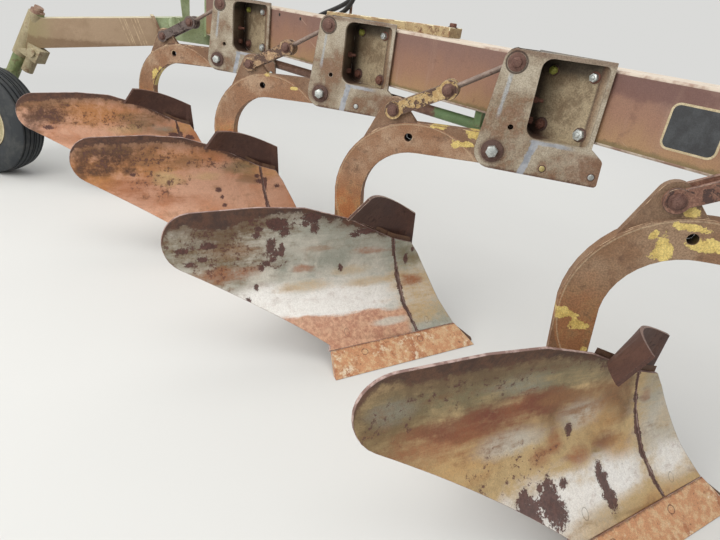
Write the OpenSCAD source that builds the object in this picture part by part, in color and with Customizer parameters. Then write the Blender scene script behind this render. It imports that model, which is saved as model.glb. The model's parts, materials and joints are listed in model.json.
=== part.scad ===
// Semi-mounted right-hand plough with four trip bottoms on a slanted box beam.
// X points forward, Y to the left and Z up; the soles of the bottoms stand on Z = 0.

/* [Bottoms] */
// Sideways step from one bottom to the next, the width of one furrow
furrow_w = 457; // [400:1:480]
// Fore and aft step from one bottom to the next
step_x = 705; // [690:1:800]
// Height of a trip pivot above the soles
pivot_h = 690; // [680:1:720]

/* [Beam] */
// Height of the box beam
beam_h = 200; // [150:1:230]
// Width of the box beam, square to its length
beam_w = 150; // [120:1:180]
// Underside of the beam above the trip pivots
beam_lift = 65; // [62:1:80]
// Square distance from the trip pivot to the near face of the beam
beam_off = 160; // [155:1:175]
// Length of beam behind the last trip pivot, along the beam
beam_tail = 440; // [400:1:500]
// Length of beam ahead of the first trip pivot, along the beam
beam_nose = 640; // [600:1:680]
// Height of the rear end of the bar on top of the beam
top_bar_h = 20; // [16:0.5:26]

/* [Brackets] */
// Thickness of the bracket casting's near and far cheeks
cheek_t = 14; // [10:0.5:16]
// Room between the two cheeks for the shank
cheek_gap = 48; // [46:0.5:56]
// Thickness of the pocket's thin walls
pocket_t = 12; // [8:0.5:16]
// Thickness of the pocket floor that is bolted to the beam
floor_t = 12; // [8:0.5:16]
// Length of the bracket ahead of the trip pivot
bracket_front = 310; // [295:1:330]
// Depth of the bracket below the trip pivot
bracket_drop = 52; // [50:1:60]
// Height of the bracket above the trip pivot
bracket_top = 282; // [270:1:300]
// Radius of the trip pivot pin
pivot_r = 17; // [12:0.5:20]

/* [Shank] */
// Thickness of the shank
shank_t = 38; // [30:0.5:42]
// Outer radius of the shank's curve
shank_ro = 252; // [240:1:262]
// Inner radius of the shank's curve
shank_ri = 160; // [150:1:175]
// Thickness of the lug that carries the toggle straps
lug_t = 22; // [16:0.5:24]
// Radius of the lug pin and of the upper toggle pin
toggle_pin_r = 12; // [9:0.5:14]
// Thickness of one toggle strap
strap_t = 12; // [8:0.5:13]
// Width of a toggle strap
strap_w = 40; // [36:1:46]
// Radius of the toggle rod
rod_r = 8; // [6:0.5:11]

/* [Moldboard] */
// Radius to which the moldboard is rolled
roll_r = 370; // [350:1:400]
// Thickness of moldboard and shin
board_t = 8; // [6:0.5:10]
// Thickness of the share
share_t = 12; // [8:0.5:14]
// Slope of the share
share_slope = 34.6; // [30:0.1:38]
// Thickness of the landside
landside_t = 12; // [8:0.5:16]
// Height of the landside
landside_h = 95; // [80:1:110]

/* [Rear wheel] */
// Outer radius of the tyre
tyre_r = 264; // [250:1:266]
// Width of the tyre
tyre_w = 160; // [140:1:164]
// Radius of the rim under the tyre
rim_r = 137; // [130:1:160]
// Radius of the axle
axle_r = 19; // [15:0.5:22]
// Height of the square arm
arm_h = 137; // [120:1:150]
// Width of the arm
arm_w = 100; // [80:1:120]
// Radius of the upright spindle
spindle_r = 24; // [20:0.5:28]

/* [Hitch] */
// Distance between the shoulders of the two hitch pins
hitch_span = 825; // [800:1:870]
// Radius of a hitch pin
hitch_pin_r = 14.3; // [14:0.1:18.5]
// Length of a hitch pin
hitch_pin_l = 120; // [100:1:140]
// Radius of the cross shaft
cross_r = 30; // [25:0.5:35]
// Radius of the upright king pin
king_r = 28; // [22:0.5:32]

/* [Hoses] */
// Radius of a hose
hose_r = 10; // [7:0.5:11]
// Radius of the rod that carries the hose couplers
holder_r = 6; // [4:0.5:8]

/* [Stand] */
// Side of the square stand leg
leg_w = 60; // [50:1:70]
// Side of the square foot plate
foot_w = 120; // [100:1:125]

/* [Hidden] */
$fn = 64;
run_gap = 0.05;
seat_gap = 0.3;
side_gap = 5;
big = 3000;

beam_angle = atan2(furrow_w, step_x);
beam_pitch = norm([step_x, furrow_w]);
beam_back = 2 * beam_pitch + beam_tail;
beam_front = beam_pitch + beam_nose;
beam_mid = beam_off + beam_w / 2;
beam_far = beam_off + beam_w;
beam_top = beam_lift + beam_h;
sole = -pivot_h;
end_plate_t = 14;
sleeve_wall = 18;

// Places on one bottom, measured from its trip pivot at the bracket's near face
upper_pivot = [12, 248];
knee = [-160, 145];
lug = [-314, 62];
shank_y = cheek_t + (cheek_gap - shank_t) / 2;
mid_y = cheek_t + cheek_gap / 2;
curve_c = [-222, -215];

// The rolled board: the roll's axis points forward and left and dips forward
roll_turn = 37.8;
roll_dip = 5.9;
roll_c = [97, -185, sole + 333];
share_h = 54;
share_rear = [-336, -290, sole + share_h];
share_turn = 46;
share_l = 492;
share_fall = share_h / sin(share_slope);
nose_over = 45;

// Outlines of the rolled plates: place along the roll and height above the soles
wing_c = [-834, 362];
wing_r = 88;
moldboard_edge = concat(
  [[-106, 30], [-460, 30], [-443, 61]],
  arc(wing_c, wing_r, 243, 100, 12),
  [[-650, 464], [-510, 460], [-363, 420], [-190, 341], [-150, 136]]
);
shin_edge = [[-104, 30], [-147, 136], [-187, 341], [-118, 323], [-87, 281], [-42, 200], [-5, 126], [58, 30]];
frog_wing_edge = [[-420, 130], [-340, 215], [-150, 215], [-100, 80], [-340, 80]];

// Trash board: start, control point and end of its upper and lower edge, with heights above the soles
trash_edges = [
  [[-199, 73, 422], [-331, -5, 490], [-321, -226, 519], [-196, 98, 290], [-388, -58, 424], [-365, -241, 446]],
  [[-199, 73, 422], [-315, 15, 500], [-298, -205, 534], [-196, 98, 288], [-380, -44, 410], [-350, -222, 463]]
];
trash_t = 8;
stay_x = -242;
stay_w = 28;
stay_t = 13;
stay_h = 328;

// Rear wheel, measured from the second trip pivot
wheel_c = [-2 * step_x - 1084, 2 * furrow_w - 348];
head_c = [wheel_c[0] + 118, wheel_c[1] + 194, -4];
head_rake = 27.5;
head_lean = 8;
head_down = 123;
head_up = 107;
head_r = 38;

// Hitch and stand, measured from the second trip pivot
headstock_x = 1330;
headstock_w = 120;
king_c = [1500, -170];
sleeve_r = 55;
sleeve_l = 220;
yoke_t = 25;
cross_x = 230;
stand_pin = [1300, -60];
stand_y = -300;
stand_lean = 30;
foot_t = 12;
rod_out_r = 19;
rod_z = 14;
rod_off = 50;

// Middle of the whole plough, measured from the second trip pivot
wing_reach = 441.2;
x_front = king_c[0] + cross_x + cross_r + sleeve_wall;
x_rear = wheel_c[0] - tyre_r;
y_right = -furrow_w - wing_reach;
y_left = (beam_back + end_plate_t) * sin(beam_angle) + beam_far * cos(beam_angle);
middle = [(x_front + x_rear) / 2, (y_right + y_left) / 2];

module from_second_pivot() {
  translate([-middle[0], -middle[1], pivot_h]) children();
}

module at_bottom(i) {
  from_second_pivot() translate([(2 - i) * step_x, (i - 2) * furrow_w, 0]) children();
}

// An upright plate drawn in X and Z, from y to y + t
module side_plate(y, t) {
  translate([0, y + t, 0]) rotate([90, 0, 0]) linear_extrude(t) children();
}

// A round bar across, from y to y + l, at a place in X and Z
module cross_bar(place, y, l, r) {
  translate([place[0], y, place[1]]) rotate([-90, 0, 0]) cylinder(r = r, h = l);
}

function arc(c, r, from, to, n) =
  [for (k = [0 : n]) let (a = from + (to - from) * k / n) c + r * [cos(a), sin(a)]];

// Local frame of the beam: X along it to the front, Y square to it, Z up
module along_beam() {
  rotate([0, 0, -beam_angle]) children();
}

// A block given by its lowest and its highest corner
module block(low, high) {
  translate(low) cube(high - low);
}

// A round bar between two points
module bar_between(a, b, r) {
  run = b - a;
  translate(a) rotate([0, acos(run[2] / norm(run)), atan2(run[1], run[0])]) cylinder(r = r, h = norm(run));
}

module beam() {
  color("#8c4f46") from_second_pivot() along_beam()
    block([-beam_back, beam_off, beam_lift], [beam_front, beam_far, beam_top]);
}

top_bar_from = -1150;
top_bar_to = -445;
top_bar_w = 70;
top_bar_rise = 14;

module top_bar() {
  color("#b5a582") from_second_pivot() along_beam()
    side_plate(beam_far - top_bar_w, top_bar_w) polygon([
      [top_bar_from, beam_top], [top_bar_to, beam_top],
      [top_bar_to, beam_top + top_bar_h + top_bar_rise], [top_bar_from, beam_top + top_bar_h]
    ]);
}

// Everything on the far side of the beam's near face, moved by gap towards the pivot
module beyond_beam_face(gap) {
  along_beam() translate([-big, beam_off - gap, -big]) cube([2 * big, big, 2 * big]);
}

pocket_x0 = 80;
front_wall_x = bracket_front - 42;
flange_top = 52;
boss_r = 36;

module bracket_outline() {
  polygon(concat(
    arc([0, 0], bracket_drop, 170, 270, 8),
    [[bracket_front, -bracket_drop], [bracket_front - 4, 23], [front_wall_x, flange_top]],
    [[front_wall_x, bracket_top], [upper_pivot[0], bracket_top]],
    arc(upper_pivot, boss_r, 100, 180, 5)
  ));
}

pocket_r = 14;
pocket_low_r = 36;

module pocket_outline() {
  right = front_wall_x - pocket_t;
  top = bracket_top - pocket_t;
  polygon(concat(
    arc([pocket_x0 + pocket_low_r, flange_top + pocket_low_r], pocket_low_r, 180, 270, 6),
    arc([right - pocket_r, flange_top + pocket_r], pocket_r, 270, 360, 3),
    arc([right - pocket_r, top - pocket_r], pocket_r, 0, 90, 3),
    arc([pocket_x0 + 2 * pocket_r, top - 2 * pocket_r], 2 * pocket_r, 90, 180, 4)
  ));
}

module bracket(i) {
  color("#8d8474") at_bottom(i) {
    difference() {
      union() {
        side_plate(0, cheek_t) difference() {
          bracket_outline();
          pocket_outline();
        }
        // Pocket walls and floor, cut off at the beam's face
        difference() {
          side_plate(0, big) intersection() {
            bracket_outline();
            translate([pocket_x0 - pocket_t, flange_top - pocket_t])
              square([front_wall_x - pocket_x0 + pocket_t, bracket_top - flange_top + pocket_t]);
          }
          beyond_beam_face(seat_gap);
          difference() {
            side_plate(-1, big) pocket_outline();
            beyond_beam_face(floor_t);
          }
        }
        side_plate(cheek_t + cheek_gap, cheek_t) intersection() {
          bracket_outline();
          translate([-100, -100]) square([pocket_x0 + 100, 500]);
        }
      }
      // Bore for the locking bolt
      cross_bar([36, 75], -1, 200, 8);
    }
    cross_bar([0, 0], -22, cheek_gap + 2 * cheek_t + 40, pivot_r);
    cross_bar(upper_pivot, -2, cheek_gap + 2 * cheek_t + 14, toggle_pin_r);
  }
}

foot_z = sole + 130;
foot_front = -354;

module shank_outline() {
  polygon(concat(
    arc([0, 0], 46, 90, -90, 10),
    arc(curve_c, shank_ri, 90, 180, 10),
    [[foot_front, foot_z], [-441, foot_z]],
    arc(curve_c, shank_ro, 180, 90, 12)
  ));
}

module shank(i) {
  color("#9a6a3c") at_bottom(i) {
    difference() {
      union() {
        side_plate(shank_y, shank_t) shank_outline();
        side_plate(mid_y - lug_t / 2, lug_t)
          polygon(concat([[-468, -190]], arc(lug, 38, 150, 60, 6), [[-225, 20], [-240, -30]]));
      }
      cross_bar([0, 0], -1, 200, pivot_r + run_gap);
      cross_bar([-256, -11], -1, 200, 12);
    }
    cross_bar(lug, mid_y - cheek_gap / 2 - 8, cheek_gap + 16, toggle_pin_r);
  }
}

strap_near_y = mid_y - lug_t / 2 - 4 - strap_t;
strap_far_y = mid_y + lug_t / 2 + 4;
strap_lug_r = 27;
strap_knee_r = 29;

module strap(i) {
  toggle_turn = atan2(knee[1] - lug[1], knee[0] - lug[0]);
  toggle_l = norm(knee - lug);
  color("#a8842f") at_bottom(i) {
    for (y = [strap_near_y, strap_far_y])
      difference() {
        side_plate(y, strap_t) translate(lug) rotate(toggle_turn) {
          circle(r = strap_lug_r);
          translate([0, -strap_w / 2]) square([toggle_l, strap_w]);
          translate([toggle_l, 0]) circle(r = strap_knee_r);
        }
        cross_bar(lug, y - 1, strap_t + 2, toggle_pin_r + run_gap);
      }
    cross_bar(knee, strap_near_y - 12, 12 + strap_t, toggle_pin_r);
    cross_bar(knee, strap_far_y, strap_t + 12, toggle_pin_r);
  }
}

module toggle_rod(i) {
  rod_turn = atan2(upper_pivot[1] - knee[1], upper_pivot[0] - knee[0]);
  rod_l = norm(upper_pivot - knee);
  eye_r = 22;
  eye_t = 20;
  color("#6b4a3a") at_bottom(i) translate([knee[0], mid_y, knee[1]]) rotate([0, -rod_turn, 0])
    difference() {
      union() {
        for (x = [0, rod_l]) translate([x, 0, 0]) rotate([90, 0, 0])
          cylinder(r = eye_r, h = eye_t, center = true);
        rotate([0, 90, 0]) cylinder(r = rod_r, h = rod_l);
      }
      for (x = [0, rod_l]) translate([x, 0, 0]) rotate([90, 0, 0])
        cylinder(r = toggle_pin_r + run_gap, h = eye_t + 2, center = true);
    }
}

// Frame of the roll: X along its axis, measured from its middle point
module at_roll() {
  translate(roll_c) rotate([0, 0, roll_turn]) rotate([0, roll_dip, 0]) children();
}

module roll(r) {
  at_roll() translate([-1400, 0, 0]) rotate([0, 90, 0]) cylinder(r = r, h = 2800, $fn = 180);
}

// An outline drawn along the roll and in height above the soles, pushed out sideways through the roll
module board_cut() {
  rotate([0, 0, roll_turn]) translate([0, 600, sole]) rotate([90, 0, 0]) linear_extrude(750) children();
}

// Frame of the share: X along its joint with the moldboard, Y down the slope
module at_share() {
  translate(share_rear) rotate([0, 0, share_turn]) rotate([share_slope, 0, 0])
    mirror([0, 1, 0]) children();
}

module below_joint(gap) {
  at_share() translate([-big, -gap, -400]) cube([2 * big, 600, 800]);
}

module rolled_plate(r, t) {
  difference() {
    intersection() {
      roll(r + t);
      board_cut() children();
    }
    roll(r);
  }
}

module moldboard(i) {
  color("#b9b6aa") at_bottom(i) difference() {
    rolled_plate(roll_r, board_t) polygon(moldboard_edge);
    below_joint(1);
  }
}

module shin(i) {
  color("#a89c88") at_bottom(i) difference() {
    rolled_plate(roll_r, board_t) polygon(shin_edge);
    below_joint(1);
  }
}

function curve_point(p, q, r, u) = (1 - u) * (1 - u) * p + 2 * (1 - u) * u * q + u * u * r;
function curve_run(p, q, r, u) = (1 - u) * (q - p) + u * (r - q);

// A bent sheet between an upper and a lower curve, with its thickness at the back
module ruled_sheet(e, t, n) {
  points = [for (k = [0 : n]) let (
    u = k / n,
    top = curve_point(e[0], e[1], e[2], u),
    low = curve_point(e[3], e[4], e[5], u),
    face = cross(curve_run(e[0], e[1], e[2], u), low - top),
    back = -t * face / norm(face)
  ) each [top, low, low + back, top + back]];
  sides = [for (k = [0 : n - 1], j = [0 : 3]) let (
    a = 4 * k + j,
    b = 4 * k + (j + 1) % 4
  ) each [[a, b, b + 4], [a, b + 4, a + 4]]];
  polyhedron(points, concat(sides, [[3, 2, 1, 0], [4 * n, 4 * n + 1, 4 * n + 2, 4 * n + 3]]), convexity = 4);
}

module trash_board(i) {
  color("#4a302a") at_bottom(i) {
    translate([0, 0, sole]) ruled_sheet(trash_edges[i == 2 ? 1 : 0], trash_t, 12);
    // Stay from the top of the landside, up along the frog
    block(
      [stay_x, landside_y + seat_gap, sole + landside_h + seat_gap],
      [stay_x + stay_w, landside_y + stay_t, sole + stay_h]
    );
  }
}

module below_ground() {
  translate([-big, -big, -pivot_h - 200]) cube([2 * big, 2 * big, 200]);
}

module share(i) {
  color("#a5673f") at_bottom(i) difference() {
    at_share() translate([0, 0, -share_t]) linear_extrude(share_t)
      polygon([[0, 0], [share_l, 0], [share_l + nose_over, share_fall], [-20, share_fall]]);
    below_ground();
  }
}

landside_y = 62;
landside_rear = -560;
brace_r = 12;

module frog(i) {
  behind = roll_r + board_t + seat_gap;
  color("#5d4a3c") at_bottom(i) difference() {
    union() {
      side_plate(12, landside_y - 12)
        polygon([
          [-450, foot_z], [-340, foot_z], [-200, sole + 210], [-120, sole + 210],
          [60, sole + 40], [40, sole + 20], [-450, sole + 20]
        ]);
      side_plate(landside_y, landside_t)
        polygon([
          [landside_rear, sole], [80, sole],
          [20, sole + landside_h], [landside_rear, sole + landside_h]
        ]);
      rolled_plate(behind, 26) polygon(frog_wing_edge);
      // Brace from the landside to the back of the moldboard
      bar_between([-480, landside_y + 4, sole + 70], [-600, -290, sole + 290], brace_r);
    }
    roll(behind);
    at_share() translate([-big, -60, -share_t - seat_gap]) cube([2 * big, 700, 400]);
  }
}

// A point of the beam's frame, X along it and Y square to it, in the pivot's frame
function from_beam(p) = [
  p[0] * cos(beam_angle) + p[1] * sin(beam_angle),
  -p[0] * sin(beam_angle) + p[1] * cos(beam_angle)
];

arm_start = from_beam([-beam_back, beam_mid]);
arm_start_z = 94;
arm_turn = atan2(head_c[1] - arm_start[1], head_c[0] - arm_start[0]);
arm_run = norm([head_c[0] - arm_start[0], head_c[1] - arm_start[1]]);
arm_drop = atan2(arm_start_z - head_c[2], arm_run);
arm_l = norm([arm_run, arm_start_z - head_c[2]]);
mitre_at = 308;
mitre_lean = 18;
arm_end_lean = 20;
mitre_t = 14;

module at_head() {
  translate(head_c) rotate([-head_lean, head_rake, 0]) children();
}

// Frame of the arm: X from the beam outwards, Y across, Z up
module along_arm() {
  translate([arm_start[0], arm_start[1], arm_start_z]) rotate([0, 0, arm_turn]) rotate([0, arm_drop, 0])
    children();
}

module arm_bar(gap) {
  along_arm()
    block([-150, -arm_w / 2 - gap, -arm_h / 2 - gap], [arm_l + 150, arm_w / 2 + gap, arm_h / 2 + gap]);
}

// Everything outwards of the leaning joint in the arm, from a distance beyond it
module beyond_mitre(gap) {
  along_arm() translate([mitre_at, 0, 0]) rotate([0, mitre_lean, 0])
    translate([gap, -big, -big]) cube([2 * big, 2 * big, 2 * big]);
}

// The beam's side of its end, from a distance behind the beam
module inside_beam_end(gap) {
  along_beam() translate([-beam_back - gap, -big, -big]) cube([2 * big, 2 * big, 2 * big]);
}

module tail_arm() {
  color("#8f7a58") from_second_pivot() {
    difference() {
      intersection() {
        arm_bar(0);
        beyond_mitre(mitre_t / 2);
      }
      at_head() cylinder(r = head_r + seat_gap, h = 600, center = true);
      along_arm() translate([arm_l + 2, 0, 0]) rotate([0, -arm_end_lean, 0])
        translate([0, -big, -big]) cube([big, 2 * big, 2 * big]);
    }
    // Flange at the leaning joint
    difference() {
      intersection() {
        arm_bar(10);
        beyond_mitre(seat_gap);
      }
      beyond_mitre(mitre_t);
    }
  }
}

module tail_bracket() {
  pin = [237, 43];
  pin_head_r = 30;
  panel_to = 190;
  panel_t = 14;
  color("#8d9a6a") from_second_pivot() {
    difference() {
      union() {
        along_arm() side_plate(-arm_w / 2, arm_w) polygon([
          [-150, -arm_h / 2 - 50], [pin[0], -arm_h / 2 + 25], [mitre_at + 60, -arm_h / 2 + 25],
          [mitre_at + 60, arm_h / 2], [-150, arm_h / 2]
        ]);
        along_arm() side_plate(arm_w / 2 - panel_t, panel_t)
          polygon([
            [-60, 0], [panel_to, 0],
            [panel_to, beam_top - arm_start_z], [-60, beam_top - arm_start_z]
          ]);
        along_arm() cross_bar(pin, arm_w / 2, 12, pin_head_r);
      }
      beyond_mitre(0);
      inside_beam_end(end_plate_t);
      translate([-big, y_left, -big]) cube([2 * big, big, 2 * big]);
      translate([-big, -big, beam_top]) cube([2 * big, 2 * big, big]);
    }
    along_beam()
      block([-beam_back - end_plate_t, beam_off, beam_lift - 10], [-beam_back, beam_far, beam_top]);
  }
}

lug_x = 66;

module spindle_head() {
  color("#6f6a4c") from_second_pivot() difference() {
    at_head() {
      translate([0, 0, -head_down]) cylinder(r = head_r, h = head_down + head_up);
      // Lug under the arm with its cross pin and a locking pin
      block([0, -40, -98], [118, 30, -30]);
      cross_bar([lug_x + 16, -60], -52, 20, 21);
      translate([lug_x, 0, -175]) cylinder(r = 28, h = 90);
    }
    at_head() cylinder(r = spindle_r + run_gap, h = 800, center = true);
    difference() {
      arm_bar(seat_gap);
      at_head() cylinder(r = head_r, h = 800, center = true);
    }
  }
}

axle_z = sole + tyre_r;
leg_t = 36;
leg_y = head_c[1] - 72;
leg_collar_l = 140;

module wheel_leg() {
  color("#5f6a45") from_second_pivot() {
    at_head() {
      translate([0, 0, -head_down - 150]) cylinder(r = spindle_r, h = head_down + head_up + 150 + 10);
      translate([0, 0, head_up + seat_gap]) cylinder(r = head_r - 6, h = 16);
      translate([0, 0, head_up + seat_gap + 16]) cylinder(r = head_r - 16, h = 18);
      translate([0, 0, -head_down - seat_gap - leg_collar_l]) cylinder(r = head_r - 6, h = leg_collar_l);
    }
    difference() {
      side_plate(leg_y, leg_t) polygon(concat(
        [[head_c[0] - 75, head_c[2] - 190], [head_c[0] - 150, head_c[2] - 190]],
        arc([wheel_c[0], axle_z], 48, 200, 350, 8)
      ));
      at_head() translate([0, 0, -head_down]) cylinder(r = 2 * head_r, h = 400);
    }
    cross_bar([wheel_c[0], axle_z], wheel_c[1] - hub_l / 2 - 26, leg_y - wheel_c[1] + hub_l / 2 + 30, axle_r);
    cross_bar([wheel_c[0], axle_z], wheel_c[1] - hub_l / 2 - 16, 12, axle_r + 14);
    cross_bar([wheel_c[0], axle_z], wheel_c[1] + hub_l / 2 + 4, leg_y - wheel_c[1] - hub_l / 2, axle_r + 12);
  }
}

hub_r = 45;
hub_l = 130;

module at_wheel() {
  from_second_pivot() translate([wheel_c[0], wheel_c[1], axle_z]) rotate([90, 0, 0]) children();
}

module wheel_rim() {
  color("#8a8a80") at_wheel() difference() {
    union() {
      cylinder(r = hub_r, h = hub_l, center = true);
      translate([0, 0, -6]) cylinder(r = rim_r - 3, h = 12);
      difference() {
        cylinder(r = rim_r, h = tyre_w * 0.76, center = true);
        cylinder(r = rim_r - 8, h = tyre_w, center = true);
      }
    }
    cylinder(r = axle_r + run_gap, h = hub_l + 2, center = true);
  }
}

module tyre_section() {
  half = tyre_w / 2;
  polygon(concat(
    [[rim_r + seat_gap, -half * 0.76], [rim_r + 25, -half * 0.92]],
    [[(rim_r + tyre_r) / 2, -half], [tyre_r - 22, -half * 0.93]],
    [[tyre_r - 4, -half * 0.72], [tyre_r, -half * 0.3]],
    [[tyre_r, half * 0.3], [tyre_r - 4, half * 0.72]],
    [[tyre_r - 22, half * 0.93], [(rim_r + tyre_r) / 2, half]],
    [[rim_r + 25, half * 0.92], [rim_r + seat_gap, half * 0.76]]
  ));
}

module tyre() {
  color("#3a3a3c") at_wheel() rotate_extrude($fn = 128) tyre_section();
}

hanger_t = 30;
rod_front = 80;

module steering_rod() {
  color("#6c6f4a") from_second_pivot() along_beam() {
    translate([-beam_back, beam_off + rod_off, rod_z]) rotate([0, 90, 0])
      cylinder(r = rod_out_r, h = beam_back + rod_front);
    for (k = [-2 : 0])
      translate([k * beam_pitch - 220, beam_off + rod_off - 30, rod_z])
        cube([hanger_t, 60, beam_lift - rod_z - seat_gap]);
  }
}

// Hoses beyond the beam's far face: distance from that face, then the start, two controls and the end
hose_routes = [
  [54, [-1438, 222], [-1330, 280], [-1190, 295], [-1092, 374]],
  [15, [-1338, 228], [-1245, 262], [-1115, 255], [-1066, 374]]
];
holder_x = -1112;
holder_y = 33;
holder_top = 385;
hose_block = [60, 55];
ferrule_wall = 4;

function hose_point(h, u) =
  (1 - u) ^ 3 * h[1] + 3 * (1 - u) ^ 2 * u * h[2] + 3 * (1 - u) * u ^ 2 * h[3] + u ^ 3 * h[4];
function hose_run(h, u) =
  (1 - u) ^ 2 * (h[2] - h[1]) + 2 * (1 - u) * u * (h[3] - h[2]) + u ^ 2 * (h[4] - h[3]);

function hose_place(h, u) = let (p = hose_point(h, u)) [p[0], beam_far + h[0], p[1]];
function hose_heading(h, u) = let (run = hose_run(h, u) / norm(hose_run(h, u))) [run[0], 0, run[1]];

// A hose swept along its upright curve, with rings of the given number of sides
module hose(h, rings, sides) {
  points = [for (k = [0 : rings], j = [0 : sides - 1]) let (
    p = hose_point(h, k / rings),
    run = hose_run(h, k / rings) / norm(hose_run(h, k / rings)),
    up = hose_r * cos(360 * j / sides)
  ) [p[0] - run[1] * up, beam_far + h[0] + hose_r * sin(360 * j / sides), p[1] + run[0] * up]];
  walls = [for (k = [0 : rings - 1], j = [0 : sides - 1]) let (
    a = k * sides + j,
    b = k * sides + (j + 1) % sides
  ) each [[a, b, b + sides], [a, b + sides, a + sides]]];
  ends = [[for (j = [sides - 1 : -1 : 0]) j], [for (j = [0 : sides - 1]) rings * sides + j]];
  polyhedron(points, concat(walls, ends), convexity = 4);
}

module hoses() {
  color("#26282a") from_second_pivot() along_beam()
    for (h = hose_routes) hose(h, 24, 12);
}

module hose_holder() {
  color("#5a5a52") from_second_pivot() along_beam() {
    // Rod with its foot on the beam, the plate on top and the couplers
    block([holder_x - 18, beam_far, 195], [holder_x + 18, beam_far + holder_y + 14, 235]);
    translate([holder_x, beam_far + holder_y, 200]) cylinder(r = holder_r, h = holder_top - 195);
    block([holder_x - 14, beam_far - 6, holder_top], [-1040, beam_far + 74, holder_top + 8]);
    for (h = hose_routes) {
      end = hose_place(h, 1);
      start = hose_place(h, 0);
      translate([end[0] + 8, end[1], holder_top + 4]) cylinder(r = hose_r + 6, h = 55);
      bar_between(end + seat_gap * hose_heading(h, 1), end + 26 * hose_heading(h, 1), hose_r + ferrule_wall);
      // Block in which the hose starts, with its ferrule
      bar_between(
        start - 16 * hose_heading(h, 0),
        start - seat_gap * hose_heading(h, 0),
        hose_r + ferrule_wall
      );
      block(
        [start[0] - hose_block[0] - 8, beam_far, start[2] - hose_block[1] / 2 - 4],
        [start[0] - 8, start[1] + hose_r + ferrule_wall, start[2] + hose_block[1] / 2 - 4]
      );
    }
  }
}

module beyond_far_face(gap) {
  along_beam() translate([-big, beam_off - big, -big]) cube([2 * big, big + beam_w + gap, 2 * big]);
}

stock_z = beam_lift + beam_h / 2;

module headstock() {
  color("#8c4f46") from_second_pivot() {
    difference() {
      union() {
        translate([headstock_x - headstock_w / 2, -700, stock_z - headstock_w / 2])
          cube([headstock_w, 700 + king_c[1] + headstock_w / 2, headstock_w]);
        translate([headstock_x, king_c[1] - headstock_w / 2, stock_z - headstock_w / 2])
          cube([king_c[0] - headstock_x, headstock_w, headstock_w]);
        translate([king_c[0], king_c[1], stock_z]) cylinder(r = sleeve_r, h = sleeve_l, center = true);
      }
      beyond_far_face(seat_gap);
      translate([king_c[0], king_c[1], stock_z])
        cylinder(r = king_r + run_gap, h = sleeve_l + 2, center = true);
    }
  }
}

module hitch_yoke() {
  plate_gap = sleeve_l / 2 + side_gap;
  color("#7a5a48") from_second_pivot() translate([king_c[0], king_c[1], stock_z]) {
    difference() {
      union() {
        for (z = [plate_gap, -plate_gap - yoke_t])
          translate([0, 0, z]) {
            cylinder(r = sleeve_r, h = yoke_t);
            translate([0, -sleeve_r, 0]) cube([cross_x - 20, 2 * sleeve_r, yoke_t]);
          }
        translate([sleeve_r + 45, -sleeve_r, -plate_gap])
          cube([cross_x - sleeve_r - 65, 2 * sleeve_r, 2 * plate_gap]);
        translate([cross_x, 0, 0]) rotate([90, 0, 0])
          cylinder(r = cross_r + sleeve_wall, h = 320, center = true);
      }
      translate([cross_x, 0, 0]) rotate([90, 0, 0]) cylinder(r = cross_r + run_gap, h = 400, center = true);
    }
    cylinder(r = king_r, h = sleeve_l + 2 * side_gap + 2 * yoke_t, center = true);
  }
}

module cross_shaft() {
  color("#8a8378") from_second_pivot()
  translate([king_c[0] + cross_x, king_c[1], stock_z]) rotate([90, 0, 0]) {
    cylinder(r = cross_r, h = hitch_span, center = true);
    cylinder(r = hitch_pin_r, h = hitch_span + 2 * hitch_pin_l, center = true);
  }
}

module stand_bracket() {
  color("#7a4a40") from_second_pivot() {
    for (y = [stand_y - leg_w / 2 - side_gap - 12, stand_y + leg_w / 2 + side_gap])
      side_plate(y, 12) polygon([
        [headstock_x - 60, stock_z - headstock_w / 2 - seat_gap],
        [headstock_x + 60, stock_z - headstock_w / 2 - seat_gap],
        [stand_pin[0] + 40, stand_pin[1] - 40], [stand_pin[0] - 40, stand_pin[1] - 40]
      ]);
    cross_bar(stand_pin, stand_y - leg_w / 2 - side_gap - 20, leg_w + 2 * side_gap + 40, 14);
  }
}

module stand_leg() {
  color("#6e6e66") from_second_pivot() {
    difference() {
      side_plate(stand_y - leg_w / 2, leg_w) polygon([
        [stand_pin[0] - leg_w / 2, stand_pin[1] + 30], [stand_pin[0] + leg_w / 2, stand_pin[1] + 30],
        [stand_pin[0] + leg_w / 2 - stand_lean, sole + foot_t / 2],
        [stand_pin[0] - leg_w / 2 - stand_lean, sole + foot_t / 2]
      ]);
      cross_bar(stand_pin, stand_y - 100, 200, 14 + run_gap);
    }
    translate([stand_pin[0] - stand_lean - foot_w / 2, stand_y - foot_w / 2, sole])
      cube([foot_w, foot_w, foot_t]);
  }
}

beam();
top_bar();
tail_bracket();
tail_arm();
spindle_head();
wheel_leg();
wheel_rim();
tyre();
steering_rod();
hoses();
hose_holder();
headstock();
hitch_yoke();
cross_shaft();
stand_bracket();
stand_leg();
for (i = [1 : 4]) {
  bracket(i);
  shank(i);
  frog(i);
  share(i);
  shin(i);
  moldboard(i);
  trash_board(i);
  strap(i);
  toggle_rod(i);
}
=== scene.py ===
import functools
import json
import math
import bmesh
import bpy
from mathutils import Matrix, Vector

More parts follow.
